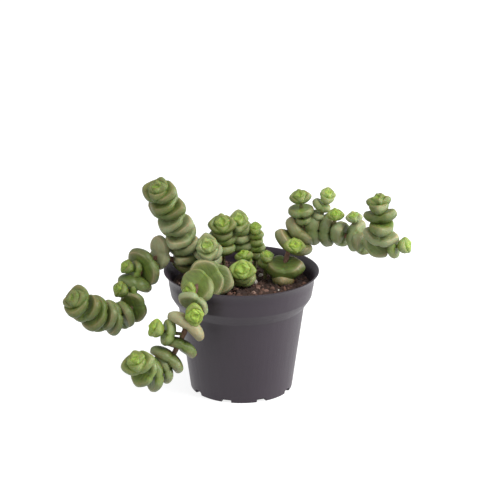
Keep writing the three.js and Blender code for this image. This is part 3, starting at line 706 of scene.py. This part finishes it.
def leaf_tree():
    """A leaf pair at each point: a ball is shaped in outline and section, and each leaf curls up in an arc."""
    tree, given, end = new_tree("leaf_pairs", [
        ("Facets", "Int"), ("Rings", "Int"), ("Waist", "Float"), ("Dish", "Float"), ("Unevenness", "Float"),
        ("Material", "Material")])
    start = given.node("GeometryNodeMeshUVSphere",
                       values={"Segments": given.out("Facets"), "Rings": given.out("Rings"), "Radius": 1.0})
    start = stored(start, "ball", given.node("GeometryNodeInputPosition"), "FLOAT_VECTOR")
    pairs = given.node("GeometryNodeInstanceOnPoints", values={"Points": given, "Instance": start})
    shape = pairs.node("GeometryNodeRealizeInstances", values={0: pairs})
    ball = named(given, "ball", "FLOAT_VECTOR")
    bx, by, bz = ball.parts()
    long, wide, thick = named(given, "size", "FLOAT_VECTOR").parts()
    pick, pointed, bend = (named(given, name) for name in ("pick", "pointed", "bend"))
    uneven = given.out("Unevenness")
    rim = (bx * bx + by * by).math("SQRT").math("MAXIMUM", 1e-4)
    cx, cy = bx / rim, by / rim
    ax, ay = cx.math("ABSOLUTE"), cy.math("ABSOLUTE")
    top = bz.math("GREATER_THAN", 0.0)
    fullness = UNDER_FULLNESS - top * (UNDER_FULLNESS - TOP_FULLNESS)
    spread = rim ** fullness
    rise = bz.math("ABSOLUTE") ** fullness
    blunt = BLUNTNESS - pointed * (BLUNTNESS - POINTED_BLUNTNESS)
    outline = (ax ** blunt + ay ** blunt).math("MAXIMUM", 1e-3) ** (blunt ** -1 * -1)
    waist = 1 - given.out("Waist") * cx.bell(0, WAIST_SPAN)
    drift = given.node("ShaderNodeCombineXYZ", values={0: pick * 37, 1: pick * 91, 2: pick * 53})
    seen = ball.vector("ADD", drift)
    swell = noise_at(given, seen, Scale=0.9, Detail=1.0)
    sway = noise_at(given, drift.vector("SUBTRACT", seen), Scale=1.1)
    size = outline * waist * spread * (1 + swell * uneven)
    point = 1 + 0.05 * ax ** 14 * (1 + pointed)
    x = cx * size * point * long * 0.5
    y = cy * size * wide * (0.5 - 0.06 * pointed) * (1 + sway * uneven)
    dish = 1 - given.out("Dish") * (1 - spread * spread)
    seam = (x / long).bell(0, SEAM_WIDTH) * spread
    keel = 1 + KEEL * ay.bell(0, 0.5) * (x / long).math("ABSOLUTE")
    up = rise * thick * TOP_SHARE * dish
    down = rise * thick * -UNDER_SHARE * keel
    height = down + (up - down) * top
    height = height * (1 - seam * SEAM_DEPTH) + swell * thick * 0.25 * uneven
    side = y / wide * 2
    height = height + named(given, "cup") * side * side * wide * 0.5
    reach = (x / long * 2).math("ABSOLUTE")
    angle = reach * bend
    radius = long * 0.5 / bend
    along = x.math("SIGN") * (radius - height) * angle.math("SINE")
    lift = radius - (radius - height) * angle.math("COSINE")
    axes = [named(given, name, "FLOAT_VECTOR") for name in ("axis_long", "axis_wide", "axis_up")]
    moved = placed_along((along, y, lift), axes).vector("ADD", named(given, "middle", "FLOAT_VECTOR"))
    leaf = given.node("ShaderNodeCombineXYZ", values={0: reach, 1: side, 2: bz})
    shape = stored(shape, "leaf", leaf, "FLOAT_VECTOR")
    shape = shape.node("GeometryNodeSetPosition", values={0: shape, "Position": moved})
    end(shape)
    return tree


def stem_tree():
    """A round stem along a line of points, with a ridged, uneven bark."""
    tree, given, end = new_tree("stems", [("Facets", "Int"), ("Bark", "Float"), ("Seed", "Float"),
                                          ("Material", "Material")])
    line = given.node("GeometryNodeMeshToCurve", values={0: given})
    ring = given.node("GeometryNodeCurvePrimitiveCircle",
                      values={"Resolution": given.out("Facets"), "Radius": 1.0})
    tube = line.node("GeometryNodeCurveToMesh",
                     values={0: line, 1: ring, "Scale": named(given, "radius"), "Fill Caps": True})
    place = given.node("GeometryNodeInputPosition").scaled(900.0)
    rough = given.node("ShaderNodeTexNoise", {"noise_dimensions": "4D"},
                       {"Vector": place, "W": given.out("Seed"), "Scale": 1.0, "Detail": 2.0}) - 0.5
    offset = given.node("GeometryNodeInputNormal").scaled(rough * given.out("Bark"))
    end(tube.node("GeometryNodeSetPosition", values={0: tube, "Offset": offset}))
    return tree


def crumb_tree():
    """Crumbs lying on the top of the soil, of random size and turn."""
    tree, given, end = new_tree("crumbs", [("Density", "Float"), ("Size", "Float"), ("Seed", "Int"),
                                           ("Level", "Float"), ("Reach", "Float"), ("Material", "Material")])
    place = given.node("GeometryNodeInputPosition")
    above = place.parts()[2].math("GREATER_THAN", given.out("Level"))
    flat = place.vector("MULTIPLY", (1, 1, 0)).vector("LENGTH", out=1)
    within = flat.math("LESS_THAN", given.out("Reach"))
    facing = given.node("GeometryNodeInputNormal").parts()[2].math("GREATER_THAN", 0.6) * above * within
    points = given.node("GeometryNodeDistributePointsOnFaces", {"distribute_method": "RANDOM"},
                        {0: given, "Selection": facing, "Density": given.out("Density"),
                         "Seed": given.out("Seed")})
    points = stored(points, "shade", random_value(given, 0.0, 1.0, 1))
    turn = random_value(given, (0, 0, 0), (6.28, 6.28, 6.28), 2)
    draw = random_value(given, 0.0, 1.0, 3)
    stretch = random_value(given, (0.7, 0.7, 0.6), (1.6, 1.2, 1.0), 4)
    scale = stretch.scaled((0.45 + draw * draw * draw * 1.7) * given.out("Size"))
    crumb = given.node("GeometryNodeMeshIcoSphere", values={"Radius": 1.0, "Subdivisions": 2})
    lumps = given.node("GeometryNodeInstanceOnPoints",
                       values={"Points": points, "Instance": crumb, "Rotation": turn, "Scale": scale})
    shape = lumps.node("GeometryNodeRealizeInstances", values={0: lumps})
    place = given.node("GeometryNodeInputPosition").scaled(1100.0)
    shift = given.node("ShaderNodeTexNoise", values={"Vector": place, "Scale": 1.0, "Detail": 1.0},
                       out="Color")
    offset = shift.vector("SUBTRACT", (0.5, 0.5, 0.5)).scaled(given.out("Size") * 1.1)
    end(shape.node("GeometryNodeSetPosition", values={0: shape, "Offset": offset}))
    return tree


def run_tree(tree, source, name, **values):
    """Runs a geometry tree on a mesh and gives the result as a plain piece."""
    holder = bpy.data.objects.new(name + ".source", source)
    bpy.context.scene.collection.objects.link(holder)
    modifier = holder.modifiers.new("shape", "NODES")
    modifier.node_group = tree
    for socket in tree.interface.items_tree:
        if socket.item_type == "SOCKET" and socket.in_out == "INPUT" and socket.name in values:
            modifier[socket.identifier] = values[socket.name]
    holder.update_tag()
    graph = bpy.context.evaluated_depsgraph_get()
    made = bpy.data.meshes.new_from_object(holder.evaluated_get(graph), depsgraph=graph)
    bpy.data.objects.remove(holder)
    made.name = name
    return show(made, name)


def show(made, name):
    """Puts a mesh in the scene."""
    piece = bpy.data.objects.new(name, made)
    bpy.context.scene.collection.objects.link(piece)
    return piece


def point_mesh(name, places, edges, **attributes):
    """A mesh of bare points, with an attribute for each list of numbers or vectors."""
    made = bpy.data.meshes.new(name)
    made.from_pydata([tuple(place) for place in places], edges, [])
    for title, values in attributes.items():
        values = np.array(values, float)
        vector = values.ndim == 2
        layer = made.attributes.new(title, "FLOAT_VECTOR" if vector else "FLOAT", "POINT")
        layer.data.foreach_set("vector" if vector else "value", values.ravel())
    return made


# ---- Routes ----


class Route:
    """A smooth line through chosen points, in millimetres, with a frame that follows it without twisting."""

    STEPS = 48  # places between two chosen points

    def __init__(self, points):
        points = [np.array(point, float) for point in points]
        points = [2 * points[0] - points[1], *points, 2 * points[-1] - points[-2]]
        places = []
        for i in range(1, len(points) - 2):
            places += [self.between(points[i - 1:i + 3], step / self.STEPS) for step in range(self.STEPS)]
        self.places = np.array([*places, points[-2]])
        steps = np.diff(self.places, axis=0)
        self.distances = np.concatenate([[0], np.cumsum(np.linalg.norm(steps, axis=1))])
        self.length = self.distances[-1]
        ways = np.gradient(self.places, self.distances, axis=0)
        self.ways = ways / np.linalg.norm(ways, axis=1)[:, None]
        self.normals = self.untwisted()

    @staticmethod
    def between(four, weight):
        """A place between the middle two of four points, on a centripetal Catmull-Rom curve."""
        before, start, end, after = four
        back, gap, on = (np.linalg.norm(b - a) ** 0.5 for a, b in zip(four, four[1:]))
        out = ((start - before) / back - (end - before) / (back + gap) + (end - start) / gap) * gap
        into = ((end - start) / gap - (after - start) / (gap + on) + (after - end) / on) * gap
        square = 3 * (end - start) - 2 * out - into
        cube = 2 * (start - end) + out + into
        return start + out * weight + square * weight ** 2 + cube * weight ** 3

    def untwisted(self):
        """The long axis at each place, carried along the line without twisting."""
        first = self.ways[0]
        least = np.eye(3)[int(np.argmin(np.abs(first)))]
        side = np.cross(first, least)
        normal = np.cross(first, side / np.linalg.norm(side))
        normals = [normal]
        for way in self.ways[1:]:
            normal = normal - way * (normal @ way)
            normal /= np.linalg.norm(normal)
            normals.append(normal)
        return np.array(normals)

    def at(self, distance):
        """The place, the long and wide axes and the way of the line at a distance along it."""
        found = []
        for values in (self.places, self.normals, self.ways):
            found.append(np.array([np.interp(distance, self.distances, column) for column in values.T]))
        place, normal, way = found
        way /= np.linalg.norm(way)
        normal -= way * (normal @ way)
        normal /= np.linalg.norm(normal)
        return place, normal, np.cross(way, normal), way


def rim_route(points):
    """A route drawn from the centre of the rim."""
    return Route([np.array(point, float) * SPREAD + (0, 0, POT_HIGH.z / MM) for point in points])


def twig_route(route, at, way, reach, stem_radius):
    """A side shoot's stalk, from its stem's surface."""
    place = route.at(at * SPREAD)[0]
    heading = np.array(way, float) / np.linalg.norm(way)
    start = place + heading * (stem_radius / MM + 2 * CLEARANCE)
    return Route([start, start + heading * reach / 2, start + heading * reach + (0, 0, TWIG_UPTURN * reach)])


def leaf(route, distance, roll, size, bend, cup=0.0, pointed=0.0, plump=1.0, wide=1.0):
    """One leaf pair: its frame on the route and its shape."""
    place, normal, binormal, way = route.at(distance)
    turn = math.radians(roll)
    long = math.cos(turn) * normal + math.sin(turn) * binormal
    return {"place": place, "long": long, "up": way, "size": size, "bend": bend, "cup": cup,
            "pointed": pointed, "plump": plump, "wide": wide}


def top_leaves(route, at, opened, pitch, crown, size, roll, pointed=0.0, growth=OPEN_GROWTH,
               crown_point=SHORT_POINT):
    """The open pairs at a shoot's top and the crown that closes in above them."""
    found = []
    for i in range(opened):
        scale = size * (1 + growth * (opened - i))
        found.append(leaf(route, at + pitch * i, roll + PAIR_TURN * i, scale, OPEN_BEND + OPEN_BEND_STEP * i,
                          OPEN_CUP, pointed, OPEN_PLUMP))
    distance, scale = at + pitch * opened + CROWN_LIFT * LEAF_LENGTH * size, size
    for i in range(crown):
        cup = CROWN_CUP + CROWN_CUP_STEP * i
        turn = roll + PAIR_TURN * (opened + i) + CROWN_TWIST * i
        found.append(leaf(route, distance, turn, scale * CROWN_GROWTH, CROWN_BENDS[i], cup, crown_point,
                          CROWN_PLUMP, 1 - CROWN_NARROWING * crown_point))
        distance += CROWN_RISE * LEAF_LENGTH * scale
        scale *= CROWN_SHRINK
    return found


def short_leaves(route, size, opened, pitch, growth=OPEN_GROWTH):
    """The leaves of a short shoot, spaced down from the end of its stalk."""
    at = route.length - CROWN_ROOM * LEAF_LENGTH * size - pitch * opened
    return top_leaves(route, at, opened, pitch, SMALL_CROWN, size, 0, growth=growth)


def leafy_pieces(look):
    """Each leafy node's name with its leaves."""
    found = {}
    routes = {name: rim_route(shoot["route"]) for name, shoot in SHOOTS.items()}
    for name, shoot in SHOOTS.items():
        route, roll, pointed = routes[name], shoot["roll"], shoot["pointed"]
        for i, (distance, size) in enumerate(shoot["pairs"]):
            found[f"{name}_pair_{i + 1}"] = [
                leaf(route, distance * SPREAD, roll + PAIR_TURN * i, size, OPEN_BEND, OLD_CUP, pointed)]
        tip = shoot["tip"]
        found[f"{name}_tip"] = top_leaves(route, tip["at"] * SPREAD, tip["open"], tip["pitch"], TALL_CROWN,
                                          tip["size"], roll + PAIR_TURN * len(shoot["pairs"]), pointed,
                                          crown_point=shoot["crown_point"])
    counts = dict.fromkeys(SHOOTS, 0)
    for stem, at, way, reach, size, opened in SIDE_SHOOTS:
        counts[stem] += 1
        twig = twig_route(routes[stem], at, way, reach, look.stem_radius)
        name = f"{stem}_side_{counts[stem]}"
        found[name] = short_leaves(twig, size, opened, SIDE_PITCH * size, SIDE_GROWTH)
    for i, (points, size, opened, pitch) in enumerate(CENTRE_SHOOTS):
        found[f"centre_shoot_{i + 1}"] = short_leaves(rim_route(points), size, opened, pitch)
    for name, poses in POSES.items():
        for one, own in zip(found[name], poses):
            strayed(one, **own)
    for name, up in LEANING_CROWNS.items():
        foot = found[name][-SMALL_CROWN]["place"]
        for one in found[name][-SMALL_CROWN:]:
            rise = np.linalg.norm(one["place"] - foot)
            strayed(one, up=up)
            one["place"] = foot + rise * one["up"]
    return found


def strayed(one, up=None, aim=None, grown=1, plump=1, shift=(0, 0, 0), **shape):
    """Turns a leaf pair to face its own way, points its leaves along an aim, and grows and shifts it."""
    up = np.array(up or one["up"], float)
    one["up"] = up / np.linalg.norm(up)
    long = np.array(aim or one["long"], float)
    long -= one["up"] * (long @ one["up"])
    one["long"] = long / np.linalg.norm(long)
    one["size"] *= grown
    one["plump"] *= plump
    one["place"] = one["place"] + shift
    one.update(shape)


def tint_of(name):
    """A piece's own tint, or its stem's."""
    return TINTS.get(name) or next(tint for stem, tint in TINTS.items() if name.startswith(stem))


def check_place(piece, node, tolerance=0.005):
    """Stops if a piece reaches outside its node's box by more than the tolerance."""
    low, high = (np.array(corner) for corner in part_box(node))
    corners = np.array([vertex.co for vertex in piece.data.vertices])
    beyond = max((low - corners.min(0)).max(), (corners.max(0) - high).max())
    if not beyond < tolerance:
        raise RuntimeError(f"{piece.name} reaches {beyond / MM:.1f} mm outside its node")


def ride(piece, slot, *nodes):
    """Puts a piece on the one body and hides the nodes it stands for. The slot is not used."""
    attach(piece, "root")
    if nodes:
        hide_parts(*nodes)


# ---- Pieces ----


class CRASSULA_OT_leaves(bpy.types.Operator):
    """Make the leaf pairs, the tips, the side shoots and the centre shoots"""

    bl_idname = "crassula.leaves"
    bl_label = "Leaves"

    def execute(self, context):
        look = context.scene.crassula_plant
        tree = leaf_tree()
        finishes = {
            "old_leaf": leaf_material("old_leaf", look, 0.05, 0.55),
            "tip_leaf": leaf_material("tip_leaf", look, 0.05, 0.2),
            "young_leaf": leaf_material("young_leaf", look, 0.08, 0.1),
        }
        dice = random.Random(7)
        for name, leaves in leafy_pieces(look).items():
            slot = "old_leaf" if "_pair_" in name else "tip_leaf" if name.endswith("_tip") else "young_leaf"
            source = self.points(name, leaves, look, dice)
            piece = run_tree(tree, source, name + ".leaves", Facets=FACETS[slot], Rings=FACETS[slot] // 2,
                             Waist=look.waist, Dish=look.dish, Unevenness=look.unevenness,
                             Material=finishes[slot])
            check_place(piece, name)
            ride(piece, slot, name)
        return {"FINISHED"}

    @staticmethod
    def points(name, leaves, look, dice):
        """A point for each leaf pair, with the pair's shape and tint."""
        places = [one["place"] * MM for one in leaves]
        up, long = ([one[axis] for one in leaves] for axis in ("up", "long"))
        sizes = []
        for one in leaves:
            size = one["size"]
            thickness = look.leaf_thickness * (1 - THICKNESS_SHARE + THICKNESS_SHARE * size) * one["plump"]
            sizes.append((look.leaf_length * size, look.leaf_width * size * one["wide"], thickness))
        ages = np.linspace(0, 1, len(leaves)) if len(leaves) > 1 else [0]
        youth, pale, dry = tint_of(name)
        tints = [(min(1, youth * (0.55 + 0.45 * age) + 0.25 * age ** 3), pale * (1 - 0.5 * age),
                  dry * (1 - age)) for age in ages]
        return point_mesh(name, places, [], size=sizes, axis_long=long, axis_wide=np.cross(up, long),
                          axis_up=up, middle=places, pick=[dice.random() for _ in leaves], tint=tints,
                          bend=[math.radians(one["bend"]) for one in leaves],
                          cup=[one["cup"] for one in leaves], pointed=[one["pointed"] for one in leaves])


class CRASSULA_OT_stems(bpy.types.Operator):
    """Make the four stems and the stalks of the side and centre shoots"""

    bl_idname = "crassula.stems"
    bl_label = "Stems"

    def execute(self, context):
        look = context.scene.crassula_plant
        tree = stem_tree()
        bark = bark_material("bark", look, 0.0)
        stalk_skin = bark_material("stalk", look, 0.6)
        routes = {name: rim_route(shoot["route"]) for name, shoot in SHOOTS.items()}
        for i, (name, shoot) in enumerate(SHOOTS.items()):
            knots = [distance * SPREAD for distance, size in shoot["pairs"]]
            self.stem(tree, bark, routes[name], look.stem_radius, name + "_stem.bark", i,
                      (CLEARANCE, shoot["tip"]["at"] * SPREAD), knots, name + "_stem")
        counts = dict.fromkeys(SHOOTS, 0)
        for i, (stem, at, way, reach, size, opened) in enumerate(SIDE_SHOOTS):
            counts[stem] += 1
            twig = twig_route(routes[stem], at, way, reach, look.stem_radius)
            self.stem(tree, stalk_skin, twig, look.twig_radius, f"{stem}_side_{counts[stem]}.stalk", 10 + i,
                      (-TWIG_FOOT, twig.length), [])
        for i, (points, size, opened, pitch) in enumerate(CENTRE_SHOOTS):
            stalk = rim_route(points)
            self.stem(tree, stalk_skin, stalk, look.twig_radius, f"centre_shoot_{i + 1}.stalk", 30 + i,
                      (CLEARANCE, stalk.length - CLEARANCE), [])
        return {"FINISHED"}

    def stem(self, tree, bark, route, radius, name, seed, span, knots, *nodes):
        """One stem along part of its route, with a swelling at each leaf pair."""
        start, end = span
        distances = np.linspace(start, end, max(4, int((end - start) / STEM_STEP)))
        places = [route.at(max(0, distance))[0] + min(0, distance) * route.ways[0] for distance in distances]
        scars = np.arange(4, end, KNOT_PITCH)
        swelling = sum(np.exp(-((distances - knot) / KNOT_WIDTH) ** 2) for knot in [*knots, *scars])
        radii = radius * (1 + KNOT_SWELLING * swelling)
        edges = [(i, i + 1) for i in range(len(places) - 1)]
        source = point_mesh(name, np.array(places) * MM, edges, radius=radii, along=distances * MM)
        piece = run_tree(tree, source, name, Facets=STEM_FACETS, Bark=radius * BARK_DEPTH, Seed=float(seed),
                         Material=bark)
        ride(piece, "stem_bark", *nodes)


def turned(profile, sides):
    """A closed surface of revolution about Z from an outline that starts and ends on the axis."""
    vertices, faces, rows = [], [], []
    for radius, height in profile:
        if radius < 1e-6:
            rows.append([len(vertices)] * sides)
            vertices.append((0, 0, height))
            continue
        rows.append(range(len(vertices), len(vertices) + sides))
        for i in range(sides):
            angle = 2 * math.pi * i / sides
            vertices.append((radius * math.cos(angle), radius * math.sin(angle), height))
    for low, high in zip(rows, rows[1:]):
        for i in range(sides):
            corners = [low[i], low[(i + 1) % sides], high[(i + 1) % sides], high[i]]
            faces.append(tuple(dict.fromkeys(corners)))
    return vertices, faces


def rounded(points, radius, steps=4):
    """An outline with each inner corner rounded off as far as its sides allow."""
    points = [np.array(point, float) for point in points]
    found = [points[0]]
    for before, corner, after in zip(points, points[1:], points[2:]):
        back, on = before - corner, after - corner
        reach = min(radius, 0.45 * np.linalg.norm(back), 0.45 * np.linalg.norm(on))
        start = corner + back / np.linalg.norm(back) * reach
        end = corner + on / np.linalg.norm(on) * reach
        for i in range(steps + 1):
            t = i / steps
            found.append((1 - t) ** 2 * start + 2 * t * (1 - t) * corner + t * t * end)
    return [*found, points[-1]]


def pot_outline(look):
    """The pot's outside as radius and height, from the base edge up to the rim."""
    rim = np.array((POT_HIGH.x, POT_HIGH.z))
    skirt_top = rim - (look.lip_flare, look.lip_height)
    skirt_foot = skirt_top - (look.skirt_taper, look.skirt_height)
    body_top = skirt_foot - (look.shoulder_step, look.shoulder_height)
    step = np.array((look.shoulder_step, look.shoulder_height))
    shoulder = [body_top, *(body_top + step * part for part in SHOULDER_ROUNDING), skirt_foot]
    bow = np.array((skirt_top[0], rim[1] - look.lip_curl))
    lip = [(1 - t) ** 2 * skirt_top + 2 * t * (1 - t) * bow + t * t * rim for t in np.linspace(0, 1, 7)]
    return [np.array((look.base_radius, 0)), *shoulder, *lip]


class CRASSULA_OT_pot(bpy.types.Operator):
    """Make the nursery pot with its lip, skirt, shoulder and drainage notches"""

    bl_idname = "crassula.pot"
    bl_label = "Pot"

    def execute(self, context):
        look = context.scene.crassula_pot
        outside = pot_outline(look)
        inside = [point - (look.wall, 0) for point in outside][::-1]
        inside[-1] = np.array((inside[-1][0], look.floor))
        corners = [(0, 0), *outside, *inside, (0, look.floor)]
        vertices, faces = turned(rounded(corners, 0.5 * look.wall), POT_SIDES)
        shell = bpy.data.meshes.new("pot.shell")
        shell.from_pydata(vertices, [], faces)
        holder = show(shell, "pot.shell")
        holder.data.materials.append(plastic_material(look))
        cutter = self.cutters(look)
        cut = holder.modifiers.new("notches", "BOOLEAN")
        cut.object = cutter
        cut.solver = "EXACT"
        graph = bpy.context.evaluated_depsgraph_get()
        made = bpy.data.meshes.new_from_object(holder.evaluated_get(graph), depsgraph=graph)
        made.name = "pot.shell.cut"
        piece = show(made, "pot.moulded")
        bpy.data.objects.remove(holder)
        bpy.data.objects.remove(cutter)
        made.shade_smooth()
        made.set_sharp_from_angle(angle=math.radians(SHARP_ANGLE))
        check_place(piece, "pot")
        ride(piece, "pot_plastic", "pot")
        return {"FINISHED"}

    @staticmethod
    def cutters(look):
        """A box with a rounded top for each notch, all in one mesh."""
        vertices, faces = [], []
        half, depth, height = look.notch_width / 2, look.notch_depth, look.notch_height
        arch = [(-half, -height), (half, -height), (half, 0.6 * height), (0.8 * half, 0.92 * height),
                (0.5 * half, height), (-0.5 * half, height), (-0.8 * half, 0.92 * height),
                (-half, 0.6 * height)]
        for n in range(look.notches):
            angle = math.radians(NOTCH_TURN) + 2 * math.pi * n / look.notches
            out = Vector((math.sin(angle), -math.cos(angle), 0))
            side = Vector((math.cos(angle), math.sin(angle), 0))
            start = len(vertices)
            for radius in (look.base_radius - depth, look.base_radius + depth):
                for across, up in arch:
                    vertices.append(out * radius + side * across + Vector((0, 0, up)))
            count = len(arch)
            for i in range(count):
                j = (i + 1) % count
                faces.append((start + i, start + j, start + count + j, start + count + i))
            faces.append(tuple(range(start + count - 1, start - 1, -1)))
            faces.append(tuple(range(start + count, start + 2 * count)))
        made = bpy.data.meshes.new("notches")
        made.from_pydata(vertices, [], faces)
        return show(made, "notches")


class CRASSULA_OT_soil(bpy.types.Operator):
    """Make the soil, its crumbs and its perlite"""

    bl_idname = "crassula.soil"
    bl_label = "Soil"

    def execute(self, context):
        look = context.scene.crassula_soil
        pot = context.scene.crassula_pot
        inside = pot_outline(pot)
        top = SOIL_HIGH.z - SOIL_DOME
        gap = pot.wall + CLEARANCE * MM
        foot = pot.floor + CLEARANCE * MM
        wall = [(point[0] - gap, point[1]) for point in inside if foot < point[1] < top]
        edge = np.interp(top, [point[1] for point in inside], [point[0] for point in inside]) - gap
        rings = [(edge * r, top + SOIL_DOME * (1 - r * r)) for r in np.linspace(1, 0, SOIL_RINGS)]
        vertices, faces = turned([(0, foot), (inside[0][0] - gap, foot), *wall, *rings], SOIL_SIDES)
        lumpy = []
        for x, y, z in vertices:
            if z > top - 1e-6:
                inner = 1 - min(1, (math.hypot(x, y) / edge)) ** 8
                place = Vector((x, y, 0))
                z += inner * (noise.noise(place * 160) * 0.0009 + noise.noise(place * 520) * 0.0006) - 0.0004
            lumpy.append((x, y, z))
        ground = bpy.data.meshes.new("soil.ground")
        ground.from_pydata(lumpy, [], faces)
        ground.shade_smooth()
        finish = soil_material(look)
        ground.materials.append(finish)
        piece = show(ground, "soil.peat")
        check_place(piece, "soil")
        ride(piece, "soil", "soil")
        crumbs = run_tree(crumb_tree(), ground.copy(), "soil.crumbs", Density=look.crumbs,
                          Size=look.crumb_size, Seed=look.seed, Level=top - SOIL_DOME,
                          Reach=edge - CRUMB_MARGIN, Material=finish)
        ride(crumbs, "soil")
        white = [(Vector((x * SPREAD * MM, y * SPREAD * MM, top + GRAIN_LIFT)), look.grain_size * size)
                 for x, y, size in PERLITE]
        self.lumps("soil.perlite", white, perlite_material(look), look.seed)
        heights, radii = [point[1] for point in inside], [point[0] for point in inside]
        dark = []
        for turn, below, size in SPECKS:
            height = POT_HIGH.z - below * MM
            radius = np.interp(height, heights, radii)
            angle = math.radians(turn)
            place = Vector((radius * math.sin(angle), -radius * math.cos(angle), height))
            dark.append((place, look.crumb_size * size))
        self.lumps("soil.specks", dark, finish, look.seed + 1)
        return {"FINISHED"}

    @staticmethod
    def lumps(name, placed, finish, seed):
        """Small uneven lumps, each with its place and radius, as one piece."""
        dice = random.Random(seed)
        blob = bmesh.new()
        for middle, radius in placed:
            ball = bmesh.ops.create_icosphere(blob, subdivisions=2, radius=radius)["verts"]
            drift = Vector((dice.uniform(0, 50), 0, 0))
            for vertex in ball:
                vertex.co = middle + vertex.co * (1 + 0.3 * noise.noise(vertex.co * 700 + drift))
        made = bpy.data.meshes.new(name)
        blob.to_mesh(made)
        blob.free()
        made.shade_smooth()
        made.materials.append(finish)
        ride(show(made, name), "soil")


class CRASSULA_OT_stage(bpy.types.Operator):
    """Set up the pale floor, the soft lights and the camera"""

    bl_idname = "crassula.stage"
    bl_label = "Stage"

    def execute(self, context):
        look = context.scene.crassula_stage
        half = look.floor_size / 2
        ground = bpy.data.meshes.new("floor")
        corners = [(-half, -half, 0), (half, -half, 0), (half, half, 0), (-half, half, 0)]
        ground.from_pydata(corners, [], [(0, 1, 2, 3)])
        paint = bpy.data.materials.new("floor")
        paint.use_nodes = True
        settings = {"Base Color": rgba(look.floor), "Roughness": 0.9, "Specular IOR Level": 0,
                    "Emission Color": (1, 1, 1, 1), "Emission Strength": look.floor_glow}
        for socket, value in settings.items():
            paint.node_tree.nodes["Principled BSDF"].inputs[socket].default_value = value
        ground.materials.append(paint)
        floor = show(ground, "floor")
        floor.visible_diffuse = False

        world = bpy.data.worlds.new("studio")
        world.use_nodes = True
        sky = world.node_tree.nodes["Background"].inputs
        sky["Color"].default_value = rgba(look.sky)
        sky["Strength"].default_value = look.sky_strength
        context.scene.world = world
        middle = Vector((0, 0, POT_HIGH.z))
        for name, place, size, power in LIGHTS:
            self.light(name, middle + Vector(place), middle, size, power)

        lens = bpy.data.cameras.new("camera")
        lens.lens = look.lens
        lens.sensor_width = 36
        camera = bpy.data.objects.new("camera", lens)
        context.scene.collection.objects.link(camera)
        camera.location = middle + Vector(look.place)
        camera.rotation_euler = (math.pi / 2 - look.pitch, 0, 0)
        context.scene.camera = camera
        context.scene.view_settings.view_transform = "Standard"
        return {"FINISHED"}

    @staticmethod
    def light(name, place, target, size, power):
        """A round soft light that faces its target."""
        lamp = bpy.data.lights.new(name, "AREA")
        lamp.shape = "DISK"
        lamp.size = size
        lamp.energy = power
        holder = bpy.data.objects.new(name, lamp)
        bpy.context.scene.collection.objects.link(holder)
        holder.location = place
        holder.rotation_euler = (target - place).to_track_quat("-Z", "Y").to_euler()


class CRASSULA_PT_panel(bpy.types.Panel):
    """The potted crassula's pieces and settings"""

    bl_idname = "CRASSULA_PT_panel"
    bl_label = "Potted crassula"
    bl_space_type = "VIEW_3D"
    bl_region_type = "UI"
    bl_category = "Crassula"

    def draw(self, context):
        for operator in OPERATORS:
            self.layout.operator(operator.bl_idname)
        for group in GROUPS:
            box = self.layout.box()
            settings = getattr(context.scene, group)
            for name in settings.__annotations__:
                box.prop(settings, name)


GROUPS = {
    "crassula_plant": PlantSettings,
    "crassula_pot": PotSettings,
    "crassula_soil": SoilSettings,
    "crassula_stage": StageSettings,
}
OPERATORS = (CRASSULA_OT_pot, CRASSULA_OT_soil, CRASSULA_OT_stems, CRASSULA_OT_leaves, CRASSULA_OT_stage)


def register():
    for item in (*GROUPS.values(), *OPERATORS, CRASSULA_PT_panel):
        bpy.utils.register_class(item)
    for name, group in GROUPS.items():
        setattr(bpy.types.Scene, name, PointerProperty(type=group))


def unregister():
    for name in GROUPS:
        delattr(bpy.types.Scene, name)
    for item in (CRASSULA_PT_panel, *OPERATORS, *GROUPS.values()):
        bpy.utils.unregister_class(item)


def main():
    register()
    bpy.ops.crassula.pot()
    bpy.ops.crassula.soil()
    bpy.ops.crassula.stems()
    bpy.ops.crassula.leaves()
    bpy.ops.crassula.stage()


if __name__ == "__main__":
    main()
